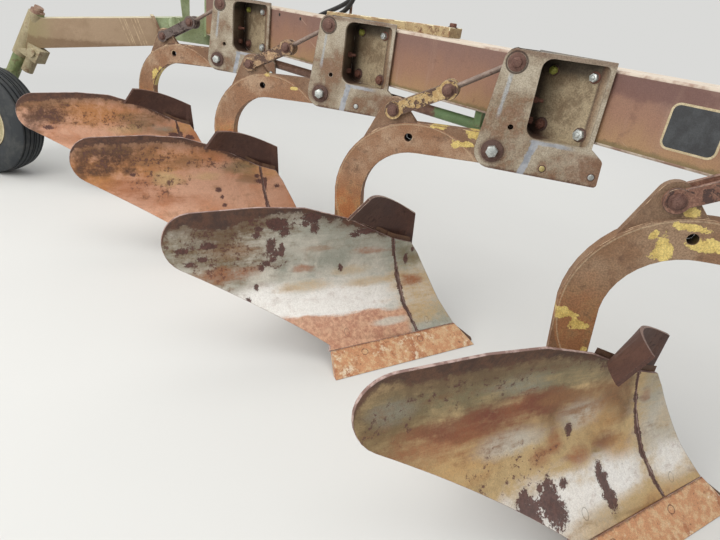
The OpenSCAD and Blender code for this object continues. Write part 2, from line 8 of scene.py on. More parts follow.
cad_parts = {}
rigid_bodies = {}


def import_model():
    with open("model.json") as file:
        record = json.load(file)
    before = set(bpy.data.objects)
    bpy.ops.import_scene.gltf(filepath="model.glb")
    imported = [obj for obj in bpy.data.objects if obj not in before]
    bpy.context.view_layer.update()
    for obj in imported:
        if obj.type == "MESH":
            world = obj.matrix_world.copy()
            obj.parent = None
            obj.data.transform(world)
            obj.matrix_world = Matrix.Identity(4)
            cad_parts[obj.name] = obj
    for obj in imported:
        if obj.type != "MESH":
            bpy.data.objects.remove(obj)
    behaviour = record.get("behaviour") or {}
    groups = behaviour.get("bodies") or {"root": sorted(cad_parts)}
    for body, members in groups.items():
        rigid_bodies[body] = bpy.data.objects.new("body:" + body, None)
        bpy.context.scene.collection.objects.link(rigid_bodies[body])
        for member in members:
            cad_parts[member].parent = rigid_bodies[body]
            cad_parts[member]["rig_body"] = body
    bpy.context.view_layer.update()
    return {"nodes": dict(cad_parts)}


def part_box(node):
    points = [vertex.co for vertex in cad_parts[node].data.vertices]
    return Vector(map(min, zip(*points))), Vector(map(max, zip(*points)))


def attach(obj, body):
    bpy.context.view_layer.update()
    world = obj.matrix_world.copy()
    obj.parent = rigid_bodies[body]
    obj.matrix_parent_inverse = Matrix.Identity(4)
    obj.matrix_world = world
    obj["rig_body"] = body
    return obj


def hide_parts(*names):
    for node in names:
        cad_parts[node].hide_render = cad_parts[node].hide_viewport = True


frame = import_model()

MM = 0.001
BOTTOMS = (1, 2, 3, 4)

# Places that everything else is measured from
BRACKET_FRONT = 0.310
BRACKET_DROP = 0.052
PIN_REACH = 0.022


def pivot(i):
    """Trip pivot of bottom i, at the near face of its bracket."""
    low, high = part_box(f"bracket_{i}")
    return Vector((high.x - BRACKET_FRONT, low.y + PIN_REACH, low.z + BRACKET_DROP))


def on_bottom(i, x, y, z):
    """A place in millimetres from the trip pivot of bottom i."""
    return pivot(i) + Vector((x, y, z)) * MM


ALONG_BEAM = (pivot(1) - pivot(4)).normalized()
BEHIND_BEAM = Vector((-ALONG_BEAM.y, ALONG_BEAM.x, 0))
UP = Vector((0, 0, 1))


def on_beam(x, y, z, i=2):
    """A place along, behind and above the trip pivot of bottom i, in the beam's directions."""
    return pivot(i) + (ALONG_BEAM * x + BEHIND_BEAM * y + UP * z) * MM


# The camera, from marks on the four like bottoms, in metres from the second trip pivot
CAMERA_AT = Vector((0.02221, -1.64198, 0.35176))
CAMERA_RIGHT = Vector((0.95358, 0.27573, 0.12109))
CAMERA_DOWN = Vector((0.22867, -0.40132, -0.88693))
CAMERA_AHEAD = Vector((-0.19596, 0.87345, -0.44574))
LENS_MM = 27.05
SENSOR_MM = 36.0


def add_camera():
    """The photo's camera."""
    data = bpy.data.cameras.new("camera")
    data.lens = LENS_MM
    data.sensor_width = SENSOR_MM
    data.clip_start = 0.01
    data.clip_end = 100.0
    camera = bpy.data.objects.new("camera", data)
    bpy.context.scene.collection.objects.link(camera)
    columns = (CAMERA_RIGHT.normalized(), -CAMERA_DOWN.normalized(), -CAMERA_AHEAD.normalized())
    turn = Matrix(columns).transposed().to_4x4()
    camera.matrix_world = Matrix.Translation(pivot(2) + CAMERA_AT) @ turn
    bpy.context.scene.camera = camera


def linear(colour):
    """A colour of 0 to 255 as the shader's linear values."""
    parts = [c / 255 for c in colour]
    return tuple(c / 12.92 if c <= 0.04045 else ((c + 0.055) / 1.055) ** 2.4 for c in parts) + (1.0,)


class Value:
    """A socket of a finish, with plain arithmetic."""

    def __init__(self, finish, socket):
        self.finish = finish
        self.socket = socket

    def math(self, operation, *others):
        return self.finish.node("ShaderNodeMath", {"operation": operation}, dict(enumerate((self,) + others)))

    def __add__(self, other):
        return self.math("ADD", other)

    def __mul__(self, other):
        return self.math("MULTIPLY", other)

    __radd__ = __add__
    __rmul__ = __mul__

    def __sub__(self, other):
        return self.math("SUBTRACT", other)

    def __rsub__(self, other):
        return (self * -1) + other

    def __truediv__(self, other):
        return self.math("DIVIDE", other)

    def most(self, other):
        return self.math("MAXIMUM", other)

    def size(self):
        return self.math("ABSOLUTE")


def away(a, b):
    """The distance from a place, from the way to it in two directions."""
    return (a * a + b * b).math("SQRT")


def any_of(masks):
    """The strongest of several masks."""
    return functools.reduce(Value.most, masks)


class Finish:
    """One material, built up layer by layer from patterns in object coordinates."""

    def __init__(self, name):
        self.colour = None
        self.material = bpy.data.materials.new(name)
        self.material.use_nodes = True
        self.tree = self.material.node_tree
        self.shader = self.tree.nodes["Principled BSDF"]
        self.at = self.node("ShaderNodeTexCoord", {}, {}, "Object")

    def node(self, kind, settings=None, inputs=None, output=0):
        """Any node: its settings, what its inputs get and which output is read."""
        made = self.tree.nodes.new(kind)
        for key, value in (settings or {}).items():
            if key == "stops":
                ramp = made.color_ramp
                while len(ramp.elements) < len(value):
                    ramp.elements.new(0.5)
                for element, (position, colour) in zip(ramp.elements, value):
                    element.position = position
                    element.color = colour
            else:
                setattr(made, key, value)
        self.fill(made.inputs, inputs or {})
        return Value(self, made.outputs[output])

    def fill(self, sockets, values):
        """Links what nodes give, and sets what is plain."""
        for key, value in values.items():
            if isinstance(value, Value):
                self.tree.links.new(value.socket, sockets[key])
            else:
                sockets[key].default_value = value

    def noise(self, scale, detail=5, rough=0.6, at=None, bend=0.0):
        inputs = {"Vector": at or self.at, "Scale": scale, "Detail": detail, "Roughness": rough,
                  "Distortion": bend}
        return self.node("ShaderNodeTexNoise", {}, inputs)

    def grains(self, cloud, spots, fine):
        """The three noises of most finishes, from wide to fine, at these scales."""
        return self.noise(cloud, 7, 0.62), self.noise(spots, 8, 0.7), self.noise(fine, 3, 0.6)

    def pits(self, scale):
        return self.node("ShaderNodeTexVoronoi", {}, {"Vector": self.at, "Scale": scale}, "Distance")

    def stretched(self, scales, turn=(0, 0, 0)):
        """Coordinates that draw a pattern out, by a scale for each axis and a turn."""
        return self.node("ShaderNodeMapping", {"vector_type": "TEXTURE"},
                         {"Vector": self.at, "Rotation": turn, "Scale": tuple(1 / s for s in scales)})

    def mix(self, a, b, factor, blend="MIX"):
        settings = {"data_type": "RGBA", "blend_type": blend}
        return self.node("ShaderNodeMix", settings, {0: factor, 6: a, 7: b}, 2)

    def rise(self, value, low, high):
        """Nought below low, one above high and smooth between them."""
        settings = {"interpolation_type": "SMOOTHSTEP"}
        return self.node("ShaderNodeMapRange", settings, {"Value": value, "From Min": low, "From Max": high})

    def edge(self, value, soft):
        """Nought below nought, one above a small value."""
        return self.rise(value, 0.0, soft)

    def line(self, value, half, ragged, soft):
        """A line where a value is nought: half its width, what makes it ragged, and how soft its edge is."""
        return self.edge(half - value.size() + ragged, soft)

    def two(self, first, second, pattern, low, high):
        """Two tones in a pattern."""
        return self.mix(linear(first), linear(second), self.rise(pattern, low, high))

    def lay(self, tone, mask=None):
        """Lays a tone of 0 to 255, or a colour that nodes give, over what is there."""
        tone = tone if isinstance(tone, Value) else linear(tone)
        self.colour = tone if mask is None else self.mix(self.colour, tone, mask)

    def speckle(self, dark, light, pattern, low=0.3, high=0.7, amount=0.7):
        """Multiplies what is there by a fine grain."""
        grain = self.mix(dark + (1,), light + (1,), self.rise(pattern, low, high))
        self.colour = self.mix(self.colour, grain, amount, "MULTIPLY")

    def profile(self, value, points):
        """A height read from a line of points, both in metres."""
        lows = [min(p[k] for p in points) for k in (0, 1)]
        spans = [max(p[k] for p in points) - lows[k] for k in (0, 1)]
        stops = []
        for x, y in points:
            level = (y - lows[1]) / spans[1]
            stops.append(((x - lows[0]) / spans[0], (level, level, level, 1)))
        inputs = {0: (value - lows[0]) / spans[0]}
        return self.node("ShaderNodeValToRGB", {"stops": stops}, inputs) * spans[1] + lows[1]

    def dot(self, a, b):
        """How far one vector goes along another."""
        return self.node("ShaderNodeVectorMath", {"operation": "DOT_PRODUCT"}, {0: a, 1: tuple(b)}, "Value")

    def axis_of(self, direction, origin):
        """Distance along a direction from a place, in metres."""
        moved = self.node("ShaderNodeVectorMath", {"operation": "SUBTRACT"}, {0: self.at, 1: tuple(origin)})
        return self.dot(moved, direction)

    def patch(self, across, up, centre, radii, ragged, grain, soft):
        """A blot round a centre in mm, with an edge that a noise makes ragged."""
        a = (across - centre[0] * MM) / (radii[0] * MM)
        b = (up - centre[1] * MM) / (radii[1] * MM)
        return self.rise(1 - away(a, b) + (grain - 0.5) * (ragged * 4), -soft, soft)

    def up_facing(self):
        """One where the surface faces up, in the piece's own coordinates."""
        return self.dot(self.node("ShaderNodeTexCoord", {}, {}, "Normal"), UP)

    def done(self, rough, metal=0.0, bump=None, depth=0.0, strength=0.6):
        """Puts what is laid on the shader, with its roughness and its relief."""
        values = {"Base Color": self.colour, "Roughness": rough, "Metallic": metal}
        if bump is not None:
            inputs = {"Strength": strength, "Distance": depth, "Height": bump}
            values["Normal"] = self.node("ShaderNodeBump", {}, inputs)
        self.fill(self.shader.inputs, values)
        return self.material


def weathered(name, base, light, rust, share, scale, rough=0.7, metal=0.0, grain=0.0006, dust=None):
    """Paint or iron with a lighter and a rusty tone in clouds, fine grain and darker pits, and a lighter tone
    where it faces up that is both dust and painted light from above.
    """
    f = Finish(name)
    cloud, spots, fine = f.grains(scale, scale * 3.7, 420)
    pitting = f.pits(260)
    f.lay(f.two(base, light, cloud, 0.38, 0.68))
    rusty = f.rise(cloud * 0.45 + spots * 0.55, 0.66 - share * 0.3, 0.74 - share * 0.18)
    f.lay(rust, rusty)
    # What faces up is lighter: dust, and painted light falling from above.
    if dust:
        f.lay(dust, f.rise(f.up_facing(), 0.5, 0.95) * f.rise(spots, 0.3, 0.55) * 0.8)
    f.lay([c * 0.45 for c in rust], f.edge(0.16 - pitting, 0.12) * 0.6)
    f.speckle((0.62, 0.6, 0.58), (1.25, 1.22, 1.18), fine, amount=0.75)
    roughness = rusty * 0.12 + spots * 0.2 + (rough - 0.12)
    return f.done(roughness, metal, fine * 0.5 + spots + pitting * 0.2, grain, 0.7)


# Finishes of the fasteners
IRON_DARK = weathered("dark_rusty_iron", (84, 62, 56), (104, 80, 70), (70, 44, 38), 0.6, 30, 0.75)
PIN_HEAD = weathered("rusty_pin_heads", (98, 70, 62), (122, 92, 82), (82, 50, 44), 0.5, 60, 0.6, 0.3)
RED_NUT = weathered("red_rusty_nuts", (102, 64, 52), (124, 84, 68), (80, 48, 40), 0.6, 60, 0.75)
# Near-black discs that stand for the shade inside bores and holes.
BORE_SHADE = weathered("bore_shade_discs", (26, 20, 18), (34, 27, 24), (22, 16, 14), 0.5, 60, 0.9)
ZINC = weathered("zinc_bolts", (172, 178, 178), (206, 212, 210), (142, 138, 124), 0.15, 80, 0.42, 0.55,
                 0.0003)
BRASS = weathered("brass_screws", (176, 160, 104), (206, 194, 140), (128, 108, 70), 0.3, 80, 0.45, 0.5,
                  0.0003)
YELLOW_NUT = weathered("yellow_green_nuts", (146, 150, 66), (176, 178, 92), (96, 84, 48), 0.35, 70, 0.6,
                       grain=0.0004)


# Small holes in the beam's face, painted as near-black discs that stand for the shade inside them: along the
# beam and above the trip pivot in mm, and their radius in metres
BEAM_HOLES = ((-1394, 240), (-1230, 239))
HOLE_RADIUS = 0.0075


def beam_finish():
    """Faded red-brown paint, tan towards the lower edge, with a pale top that is both chalky paint and
    painted light from above.
    """
    f = Finish("beam_paint")
    along = f.axis_of(ALONG_BEAM, pivot(2))
    height = f.axis_of(UP, pivot(2))
    across = f.axis_of(BEHIND_BEAM, pivot(2))
    cloud, spots, fine = f.grains(5.0, 19, 380)
    streak = f.noise(16, 7, 0.66, f.stretched((1.0, 1.0, 0.16)))
    level = height + (cloud - 0.5) * 0.12 + (streak - 0.5) * 0.1
    f.lay(f.two((160, 126, 92), (146, 110, 90), level, 0.07, 0.16))
    f.lay((128, 98, 88), f.rise(level, 0.15, 0.25))
    f.lay((164, 134, 114), f.rise(streak, 0.54, 0.72) * 0.5)
    f.lay((112, 80, 68), f.rise(spots, 0.56, 0.68) * 0.45)
    stain = f.noise(24, 5, 0.6, f.stretched((1.0, 1.0, 0.05)))
    f.lay((96, 70, 62), f.rise(stain, 0.62, 0.70) * f.edge(0.24 - height, 0.14) * 0.35)
    low_edge = f.edge(0.088 - height + (spots - 0.5) * 0.03, 0.014)
    f.lay((108, 98, 62), low_edge * 0.75)
    dark = f.patch(along, height, (330, 236), (150, 34), 0.4, spots, 0.3)
    f.lay((98, 66, 62), dark * 0.6)
    # Pale top: chalky paint, and painted light falling on it from above.
    top = f.rise(f.up_facing(), 0.6, 0.95)
    chalk_and_top_light = f.two((196, 182, 164), (150, 118, 102), spots, 0.56, 0.74)
    f.lay(chalk_and_top_light, top)
    scratch = f.rise(f.noise(60, 2, 0.5, f.stretched((0.12, 0.12, 1.6), (0, 0.5, 0))), 0.70, 0.74)
    f.lay((190, 164, 142), scratch * 0.35)
    offs = [away(along - x * MM, height - z * MM) for x, z in BEAM_HOLES]
    # Painted shade: the holes are laid on as near-black discs.
    holes = any_of(f.edge(HOLE_RADIUS - off, 0.001) for off in offs) * f.edge(0.17 - across, 0.001)
    f.lay((18, 16, 16), holes)
    f.speckle((0.78, 0.76, 0.75), (1.16, 1.15, 1.14), fine)
    return f.done(spots * 0.22 + 0.5, 0.0, fine * 0.4 + spots - holes * 4, 0.0006, 0.6)


def worn_edge(name, pale, base, share=0.5, scale=34):
    """Bevelled edges, paler where the paint is rubbed thin and where a painted highlight lies along them."""
    f = Finish(name)
    spots = f.noise(scale, 7, 0.68)
    f.lay(f.two(base, pale, spots, 0.62 - share * 0.3, 0.74 - share * 0.25))
    return f.done(spots * 0.25 + 0.42, 0.0, spots, 0.0005, 0.6)


BEAM_PAINT = beam_finish()
# Pale rounded edges of the beam: paint rubbed thin, and a painted highlight along them.
BEAM_EDGE = worn_edge("beam_edges", (198, 184, 168), (150, 120, 104), 0.7, 9)


def bracket_finish(i):
    """Cast bracket: beige paint, a bare band with a painted sheen where the flange bends, a painted highlight
    down the column, painted shade in the pocket and round the upper pin, rust towards the front.
    """
    f = Finish(f"bracket_casting_{i}")
    x = f.axis_of((1, 0, 0), pivot(i))
    y = f.axis_of((0, 1, 0), pivot(i))
    z = f.axis_of(UP, pivot(i))
    cloud = f.noise(9.0, 7, 0.62)
    spots = f.noise(38, 8, 0.7)
    wander = spots - 0.5
    sand = f.noise(230, 5, 0.7)
    face = f.edge(0.0045 - y, 0.003)
    f.lay(f.two((140, 124, 104), (180, 170, 152), cloud, 0.36, 0.62))
    f.lay((196, 190, 176), f.rise(spots, 0.54, 0.7) * 0.6)
    rusty = f.rise(1 - cloud + wander * 0.7, 0.54, 0.68)
    f.lay((126, 86, 60), rusty * 0.6)
    umber = f.rise(spots * 0.5 + sand * 0.5, 0.56, 0.66)
    f.lay((104, 74, 56), umber * 0.5)
    top_edge = f.edge(z - 0.262 + wander * 0.03, 0.012) * face
    f.lay((108, 80, 66), top_edge * 0.55)
    # Floor and walls of the pocket, with painted shade in its deep lower corner, on its rear wall, under its
    # top and in the fold by its front wall, and painted shading on the front wall
    pocket = f.rise(y, 0.006, 0.02)
    floor_tone = f.two((122, 104, 80), (164, 148, 120), cloud * 0.5 + spots * 0.5, 0.42, 0.58)
    f.lay(floor_tone, pocket * 0.92)
    # Painted shadow in the deep lower corner by the rear wall.
    corner = f.edge(0.125 - x + (0.10 - z) * 0.9 + wander * 0.14, 0.05) * pocket
    f.lay((74, 44, 34), corner * 0.9)
    # Painted shade on the deep rear wall.
    rear_wall_shade = f.edge(0.112 - x + wander * 0.05, 0.02) * pocket
    f.lay((62, 48, 38), rear_wall_shade * 0.75)
    # Painted shade under the top of the pocket.
    roof_shade = f.rise(z + wander * 0.03, 0.214, 0.246) * pocket
    f.lay((50, 42, 34), roof_shade * 0.8)
    # Painted shading of the front wall, browner than the floor.
    front_wall_shading = f.edge(x - 0.236 + wander * 0.01, 0.004) * pocket
    f.lay((118, 88, 66), front_wall_shading * 0.7)
    # Painted shade: a dark line in the fold at the foot of the front wall.
    crease_shade = f.line(x - 0.2385, 0.006, wander * 0.006, 0.006) * pocket
    f.lay((70, 52, 42), crease_shade * 0.6)
    # Flange below the pocket, with its rusty front end
    flange = f.edge(0.045 - z, 0.02) * f.rise(x, 0.12, 0.2) * face
    front_rust = f.rise(x + wander * 0.3, 0.14, 0.31)
    f.lay((120, 82, 58), flange * front_rust * 0.85)
    rim = f.edge(-0.042 - z + wander * 0.03, 0.008) * face
    f.lay((86, 58, 46), rim * 0.75)
    band = f.line(x - 0.104 - z * 0.21, 0.012, wander * 0.02, 0.004) * f.edge(0.052 - z, 0.006) * face
    sill = f.line(z - 0.046 + (x - 0.1) * 0.02, 0.008, wander * 0.014, 0.005)
    sill = sill * f.rise(x, 0.095, 0.105) * f.edge(0.235 - x, 0.05) * face
    # The bare band and sill: bare metal with a painted blue-grey sheen.
    bare = band.most(sill * 0.9)
    bluish_sheen = f.two((140, 146, 156), (172, 176, 184), spots, 0.38, 0.62)
    f.lay(bluish_sheen, bare * 0.9)
    # Painted highlight: a pale blue-grey line down the column's ridge.
    ridge = f.line(x - 0.0055 + (0.215 - z) * 0.10, 0.008, wander * 0.014, 0.006)
    ridge = ridge * f.rise(z, 0.085, 0.12) * f.edge(0.226 - z, 0.02) * face
    f.lay((172, 180, 188), ridge * 0.6)
    # A dark ring of painted shade in the groove round the upper pin, and weeping rust round the trip pin
    ring = away(x - 0.012, z - 0.248)
    groove = f.edge(0.0035 - (ring - 0.0285).size(), 0.002) * face
    f.lay((62, 42, 36), groove * 0.85)
    stain = away(x, z)
    weep = f.edge(0.046 - stain + wander * 0.03, 0.014) * face
    f.lay((104, 78, 64), weep * 0.7)
    grain = f.rise(sand, 0.34, 0.66)
    speckle = f.mix((0.6, 0.58, 0.55, 1), (1.24, 1.23, 1.22, 1), grain)
    even = f.mix((0.94, 0.94, 0.94, 1), (1.04, 1.04, 1.04, 1), grain)
    f.colour = f.mix(f.colour, f.mix(speckle, even, bare), 0.75, "MULTIPLY")
    relief = sand * 0.5 * (1 - bare) + spots * 0.6 + ridge * 0.8 + rusty * 0.2
    return f.done(0.66 - bare * 0.2 + spots * 0.15, bare * 0.3, relief, 0.0009, 0.8)


BRACKET_EDGE = worn_edge("bracket_edges", (196, 190, 178), (92, 70, 58), 0.5, 22)

# Yellow paint that is left on a shank: centre along and up from its trip pivot, and radii, in mm
YELLOW_LEFT = {
    1: ((-452, -246, 22, 13), (-417, -268, 22, 12), (-305, -47, 20, 26), (-226, -20, 30, 12),
        (-279, 42, 14, 10), (-330, -20, 8, 10), (-385, -330, 6, 6), (-268, 12, 30, 7)),
    2: ((-168, 37, 20, 6), (-62, 33, 17, 12), (-88, 0, 26, 8), (-110, -8, 10, 8)),
    3: ((-240, 30, 10, 5), (-120, -4, 12, 5)),
    4: ((-361, -135, 20, 30), (-338, -100, 10, 14), (-372, -170, 10, 12)),
}


# Middle of a shank's curve from its trip pivot, and the radius of the step on its side, in metres
SHANK_CENTRE = (-0.222, -0.215)
SHANK_STEP = 0.250


def shank_finish(i):
    """Brown iron with orange rust low down, an outer web darkened as painted shade below its step, a painted
    highlight along the step, and remains of yellow paint.
    """
    f = Finish(f"shank_rust_{i}")
    x = f.axis_of((1, 0, 0), pivot(i))
    z = f.axis_of(UP, pivot(i))
    cloud = f.noise(8.0, 7, 0.62)
    spots = f.noise(34, 8, 0.7)
    wander = spots - 0.5
    sand = f.noise(260, 5, 0.7)
    f.lay(f.two((146, 108, 80), (176, 148, 122), cloud, 0.42, 0.64))
    lower = f.edge(-0.13 - z + (cloud - 0.5) * 0.34, 0.14)
    f.lay(f.two((178, 110, 60), (196, 146, 92), spots, 0.44, 0.62), lower * 0.85)
    if i == 1:
        f.lay((116, 92, 68), 0.5)
    out = away(x - SHANK_CENTRE[0], z - SHANK_CENTRE[1])
    # Painted shade: the outer web beyond the step is darker.
    web = f.edge(out - SHANK_STEP + wander * 0.01, 0.004)
    f.lay((108, 84, 66), web * 0.55)
    # Painted highlight: a pale line along the edge of the main bar at the step.
    step = f.line(out - SHANK_STEP + 0.004, 0.003, wander * 0.006, 0.003)
    f.lay((198, 176, 146), step * 0.5)
    f.lay((104, 76, 58), f.rise(spots, 0.53, 0.66) * 0.6)
    f.lay((84, 62, 50), f.rise(sand * 0.4 + spots * 0.6, 0.58, 0.68) * 0.5)
    left = YELLOW_LEFT[i]
    yellow = any_of(f.patch(x, z, (a, b), (r * 1.15, s * 1.15), 0.9, spots, 0.06) for a, b, r, s in left)
    paint = f.two((202, 176, 98), (230, 208, 126), spots, 0.4, 0.6)
    f.lay(paint, yellow * 0.85)
    # Painted shade: the hole in the shank's side is a near-black disc.
    hole = away(x + 0.256, z + 0.011)
    f.lay((40, 28, 24), f.edge(0.0135 - hole, 0.0015) * 0.9)
    f.speckle((0.6, 0.57, 0.54), (1.24, 1.22, 1.2), sand, 0.34, 0.66, 0.75)
    relief = sand * 0.6 + spots * 0.6 + yellow * 0.4 + step * 0.8
    return f.done(0.72 - yellow * 0.2, 0.0, relief, 0.0009, 0.8)


SHANK_EDGE = worn_edge("shank_edges", (196, 168, 136), (104, 74, 56), 0.5)

# What each pair of straps is painted with: paint, lighter paint, rust and how much rust
STRAP_LOOKS = {
    1: ((116, 80, 66), (144, 108, 90), (86, 62, 56), 0.5),
    2: ((178, 146, 96), (208, 184, 136), (108, 80, 66), 0.6),
    3: ((158, 126, 96), (196, 168, 130), (102, 76, 64), 0.62),
    4: ((92, 80, 76), (112, 98, 92), (74, 56, 52), 0.5),
}


def strap_finish(i):
    """Flaking paint of a pair of straps over dark rust."""
    base, light, rust, share = STRAP_LOOKS[i]
    f = Finish(f"strap_paint_{i}")
    cloud = f.noise(24, 8, 0.72, None, 0.4)
    spots = f.noise(85, 7, 0.72)
    fine = f.noise(340, 4, 0.65)
    f.lay(f.two(base, light, spots, 0.42, 0.62))
    flaked = f.rise(cloud * 0.6 + spots * 0.4, 0.66 - share * 0.26, 0.68 - share * 0.26)
    f.lay(f.two(rust, [c * 0.7 for c in rust], fine, 0.35, 0.65), flaked)
    scuff = f.rise(f.noise(52, 6, 0.7), 0.66, 0.7)
    f.lay((206, 190, 160), scuff * 0.6)
    f.speckle((0.7, 0.68, 0.66), (1.2, 1.18, 1.16), fine, 0.34, 0.66, 0.7)
    return f.done(flaked * 0.2 + 0.5, 0.0, fine * 0.3 - flaked * 0.8, 0.0007, 0.8)


STRAP_EDGE = worn_edge("strap_edges", (150, 126, 104), (84, 64, 56), 0.45)
ROD_IRON = weathered("toggle_rod_iron", (122, 106, 98), (150, 134, 124), (96, 70, 60), 0.5, 26, 0.6, 0.3)

# Rolled boards: the way along them, and their upper edge as places along and heights above the soles
BOARD_TURN = math.radians(37.8)
BOARD_ALONG = Vector((math.cos(BOARD_TURN), math.sin(BOARD_TURN), 0))
UPPER_EDGE = (
    (-0.93, 0.33), (-0.915, 0.395), (-0.895, 0.425), (-0.85, 0.449), (-0.65, 0.464), (-0.51, 0.460),
    (-0.363, 0.420), (-0.19, 0.341), (-0.118, 0.323), (-0.087, 0.281), (-0.042, 0.200), (0.058, 0.030),
)
# The joint of moldboard and shin: heights and places along
JOINT_LINE = ((0.03, -0.106), (0.136, -0.150), (0.341, -0.190), (0.45, -0.19))

# Rear end of the joint between share and moldboard, from the trip pivot in mm, and the way along it
SHARE_REAR = (-336, -290, -636)
SHARE_ALONG = Vector((math.cos(math.radians(46)), math.sin(math.radians(46)), 0))
SHARE_BOLTS = (0.11, 0.33)

# Tones of the boards; the brightest of them is a painted reflection of the sky on scoured steel
TONES = {
    "glare_white": (252, 250, 246), "pale": (212, 208, 196), "cool": (162, 164, 152), "moss": (124, 116, 88),
    "khaki": (114, 93, 62), "straw": (200, 172, 126), "gold": (190, 144, 88), "brown": (144, 104, 70),
    "umber": (70, 43, 30), "rust": (156, 98, 64), "red": (118, 64, 48), "orange": (188, 128, 92),
    "pink": (206, 160, 134), "amber": (176, 118, 62),
}

# How broken up a cloud of each tone is, and which tones are rough
GRAINY_TONES = ("amber", "umber")
EVEN_TONES = ("glare_white", "pale", "pink")
RUSTY_TONES = ("rust", "red", "umber", "brown", "gold", "amber")

# Clouds of tone in the order in which they lie: centre along and above the soles, reach both ways, strength
CLOUDS = {
    1: (("moss", -650, 375, 270, 56, 0.9), ("moss", -400, 378, 150, 44, 0.85),
        ("khaki", -860, 310, 90, 70, 0.8), ("cool", -842, 362, 44, 24, 0.45),
        ("cool", -535, 366, 70, 24, 0.5), ("straw", -650, 195, 170, 60, 0.8),
        ("gold", -690, 220, 130, 34, 0.5), ("pale", -548, 240, 80, 24, 0.85),
        ("pale", -345, 262, 56, 34, 0.85), ("brown", -560, 285, 230, 46, 0.55),
        ("rust", -743, 272, 100, 34, 0.8), ("red", -690, 296, 84, 24, 0.85),
        ("rust", -620, 290, 70, 26, 0.7), ("red", -575, 304, 74, 32, 1.0),
        ("rust", -520, 310, 60, 28, 0.7), ("red", -462, 310, 70, 26, 0.95),
        ("brown", -390, 312, 80, 20, 0.75), ("brown", -300, 300, 90, 30, 0.75),
        ("brown", -235, 262, 50, 56, 0.7), ("gold", -290, 225, 60, 40, 0.6),
        ("glare_white", -430, 108, 190, 46, 0.9), ("glare_white", -240, 112, 90, 42, 0.9),
        ("rust", -474, 192, 32, 16, 0.85), ("rust", -427, 212, 22, 22, 0.85),
        ("rust", -362, 171, 34, 20, 0.85), ("red", -265, 188, 34, 18, 0.8),
        ("gold", -226, 165, 40, 26, 0.6), ("pale", -70, 190, 90, 110, 0.8),
        ("glare_white", -50, 105, 90, 36, 0.85), ("cool", -120, 285, 50, 60, 0.6),
        ("straw", -60, 200, 30, 30, 0.5), ("rust", -140, 269, 16, 18, 0.6),
        ("straw", -210, 66, 190, 16, 0.85), ("gold", -120, 56, 120, 12, 0.6)),
    2: (("glare_white", -400, 158, 290, 54, 1.0), ("glare_white", -640, 190, 90, 30, 0.95),
        ("glare_white", -70, 150, 60, 40, 0.7), ("cool", -400, 390, 190, 46, 0.85),
        ("cool", -245, 338, 80, 30, 0.75), ("cool", -370, 297, 70, 22, 0.5),
        ("cool", -540, 320, 60, 40, 0.4), ("khaki", -770, 330, 170, 90, 1.0),
        ("khaki", -640, 405, 110, 34, 0.75), ("brown", -800, 257, 70, 26, 0.85),
        ("rust", -750, 262, 70, 18, 0.85), ("rust", -668, 262, 40, 16, 0.75),
        ("brown", -720, 330, 80, 24, 0.7), ("rust", -277, 304, 52, 10, 0.9),
        ("brown", -465, 320, 54, 9, 0.6), ("rust", -508, 260, 32, 11, 0.8),
        ("straw", -343, 243, 60, 13, 0.7), ("straw", -493, 208, 76, 15, 0.8),
        ("straw", -276, 204, 90, 13, 0.75), ("straw", -70, 180, 110, 70, 0.85),
        ("straw", -60, 112, 80, 40, 0.8), ("rust", -108, 194, 36, 16, 0.95),
        ("moss", -95, 295, 60, 50, 0.85)),
    3: (("amber", -690, 350, 240, 66, 0.95), ("amber", -850, 300, 90, 70, 0.95),
        ("gold", -216, 345, 70, 34, 0.9), ("rust", -700, 262, 90, 36, 0.9),
        ("rust", -640, 210, 120, 26, 0.6), ("umber", -765, 374, 110, 40, 1.0),
        ("umber", -823, 321, 70, 22, 0.95), ("umber", -712, 321, 30, 17, 0.95),
        ("umber", -885, 345, 24, 46, 0.8), ("brown", -630, 360, 80, 36, 0.95),
        ("brown", -489, 352, 74, 26, 0.95), ("rust", -610, 290, 50, 16, 0.7),
        ("straw", -573, 292, 54, 28, 0.8), ("straw", -420, 300, 70, 18, 0.6),
        ("moss", -290, 334, 80, 22, 0.8), ("khaki", -240, 285, 50, 20, 0.7),
        ("rust", -480, 205, 90, 24, 0.35), ("pink", -300, 220, 120, 50, 0.6),
        ("gold", -130, 330, 40, 30, 0.8), ("rust", -80, 200, 60, 70, 0.4)),
    4: (("amber", -640, 362, 230, 56, 0.95), ("umber", -775, 352, 110, 44, 0.95),
        ("umber", -860, 310, 50, 60, 0.8), ("rust", -787, 285, 50, 24, 0.6),
        ("khaki", -378, 335, 100, 34, 0.85), ("khaki", -300, 290, 120, 22, 0.7),
        ("cool", -262, 302, 50, 14, 0.5), ("straw", -440, 290, 80, 20, 0.5),
        ("rust", -700, 240, 90, 30, 0.5), ("gold", -150, 310, 50, 26, 0.7)),
}

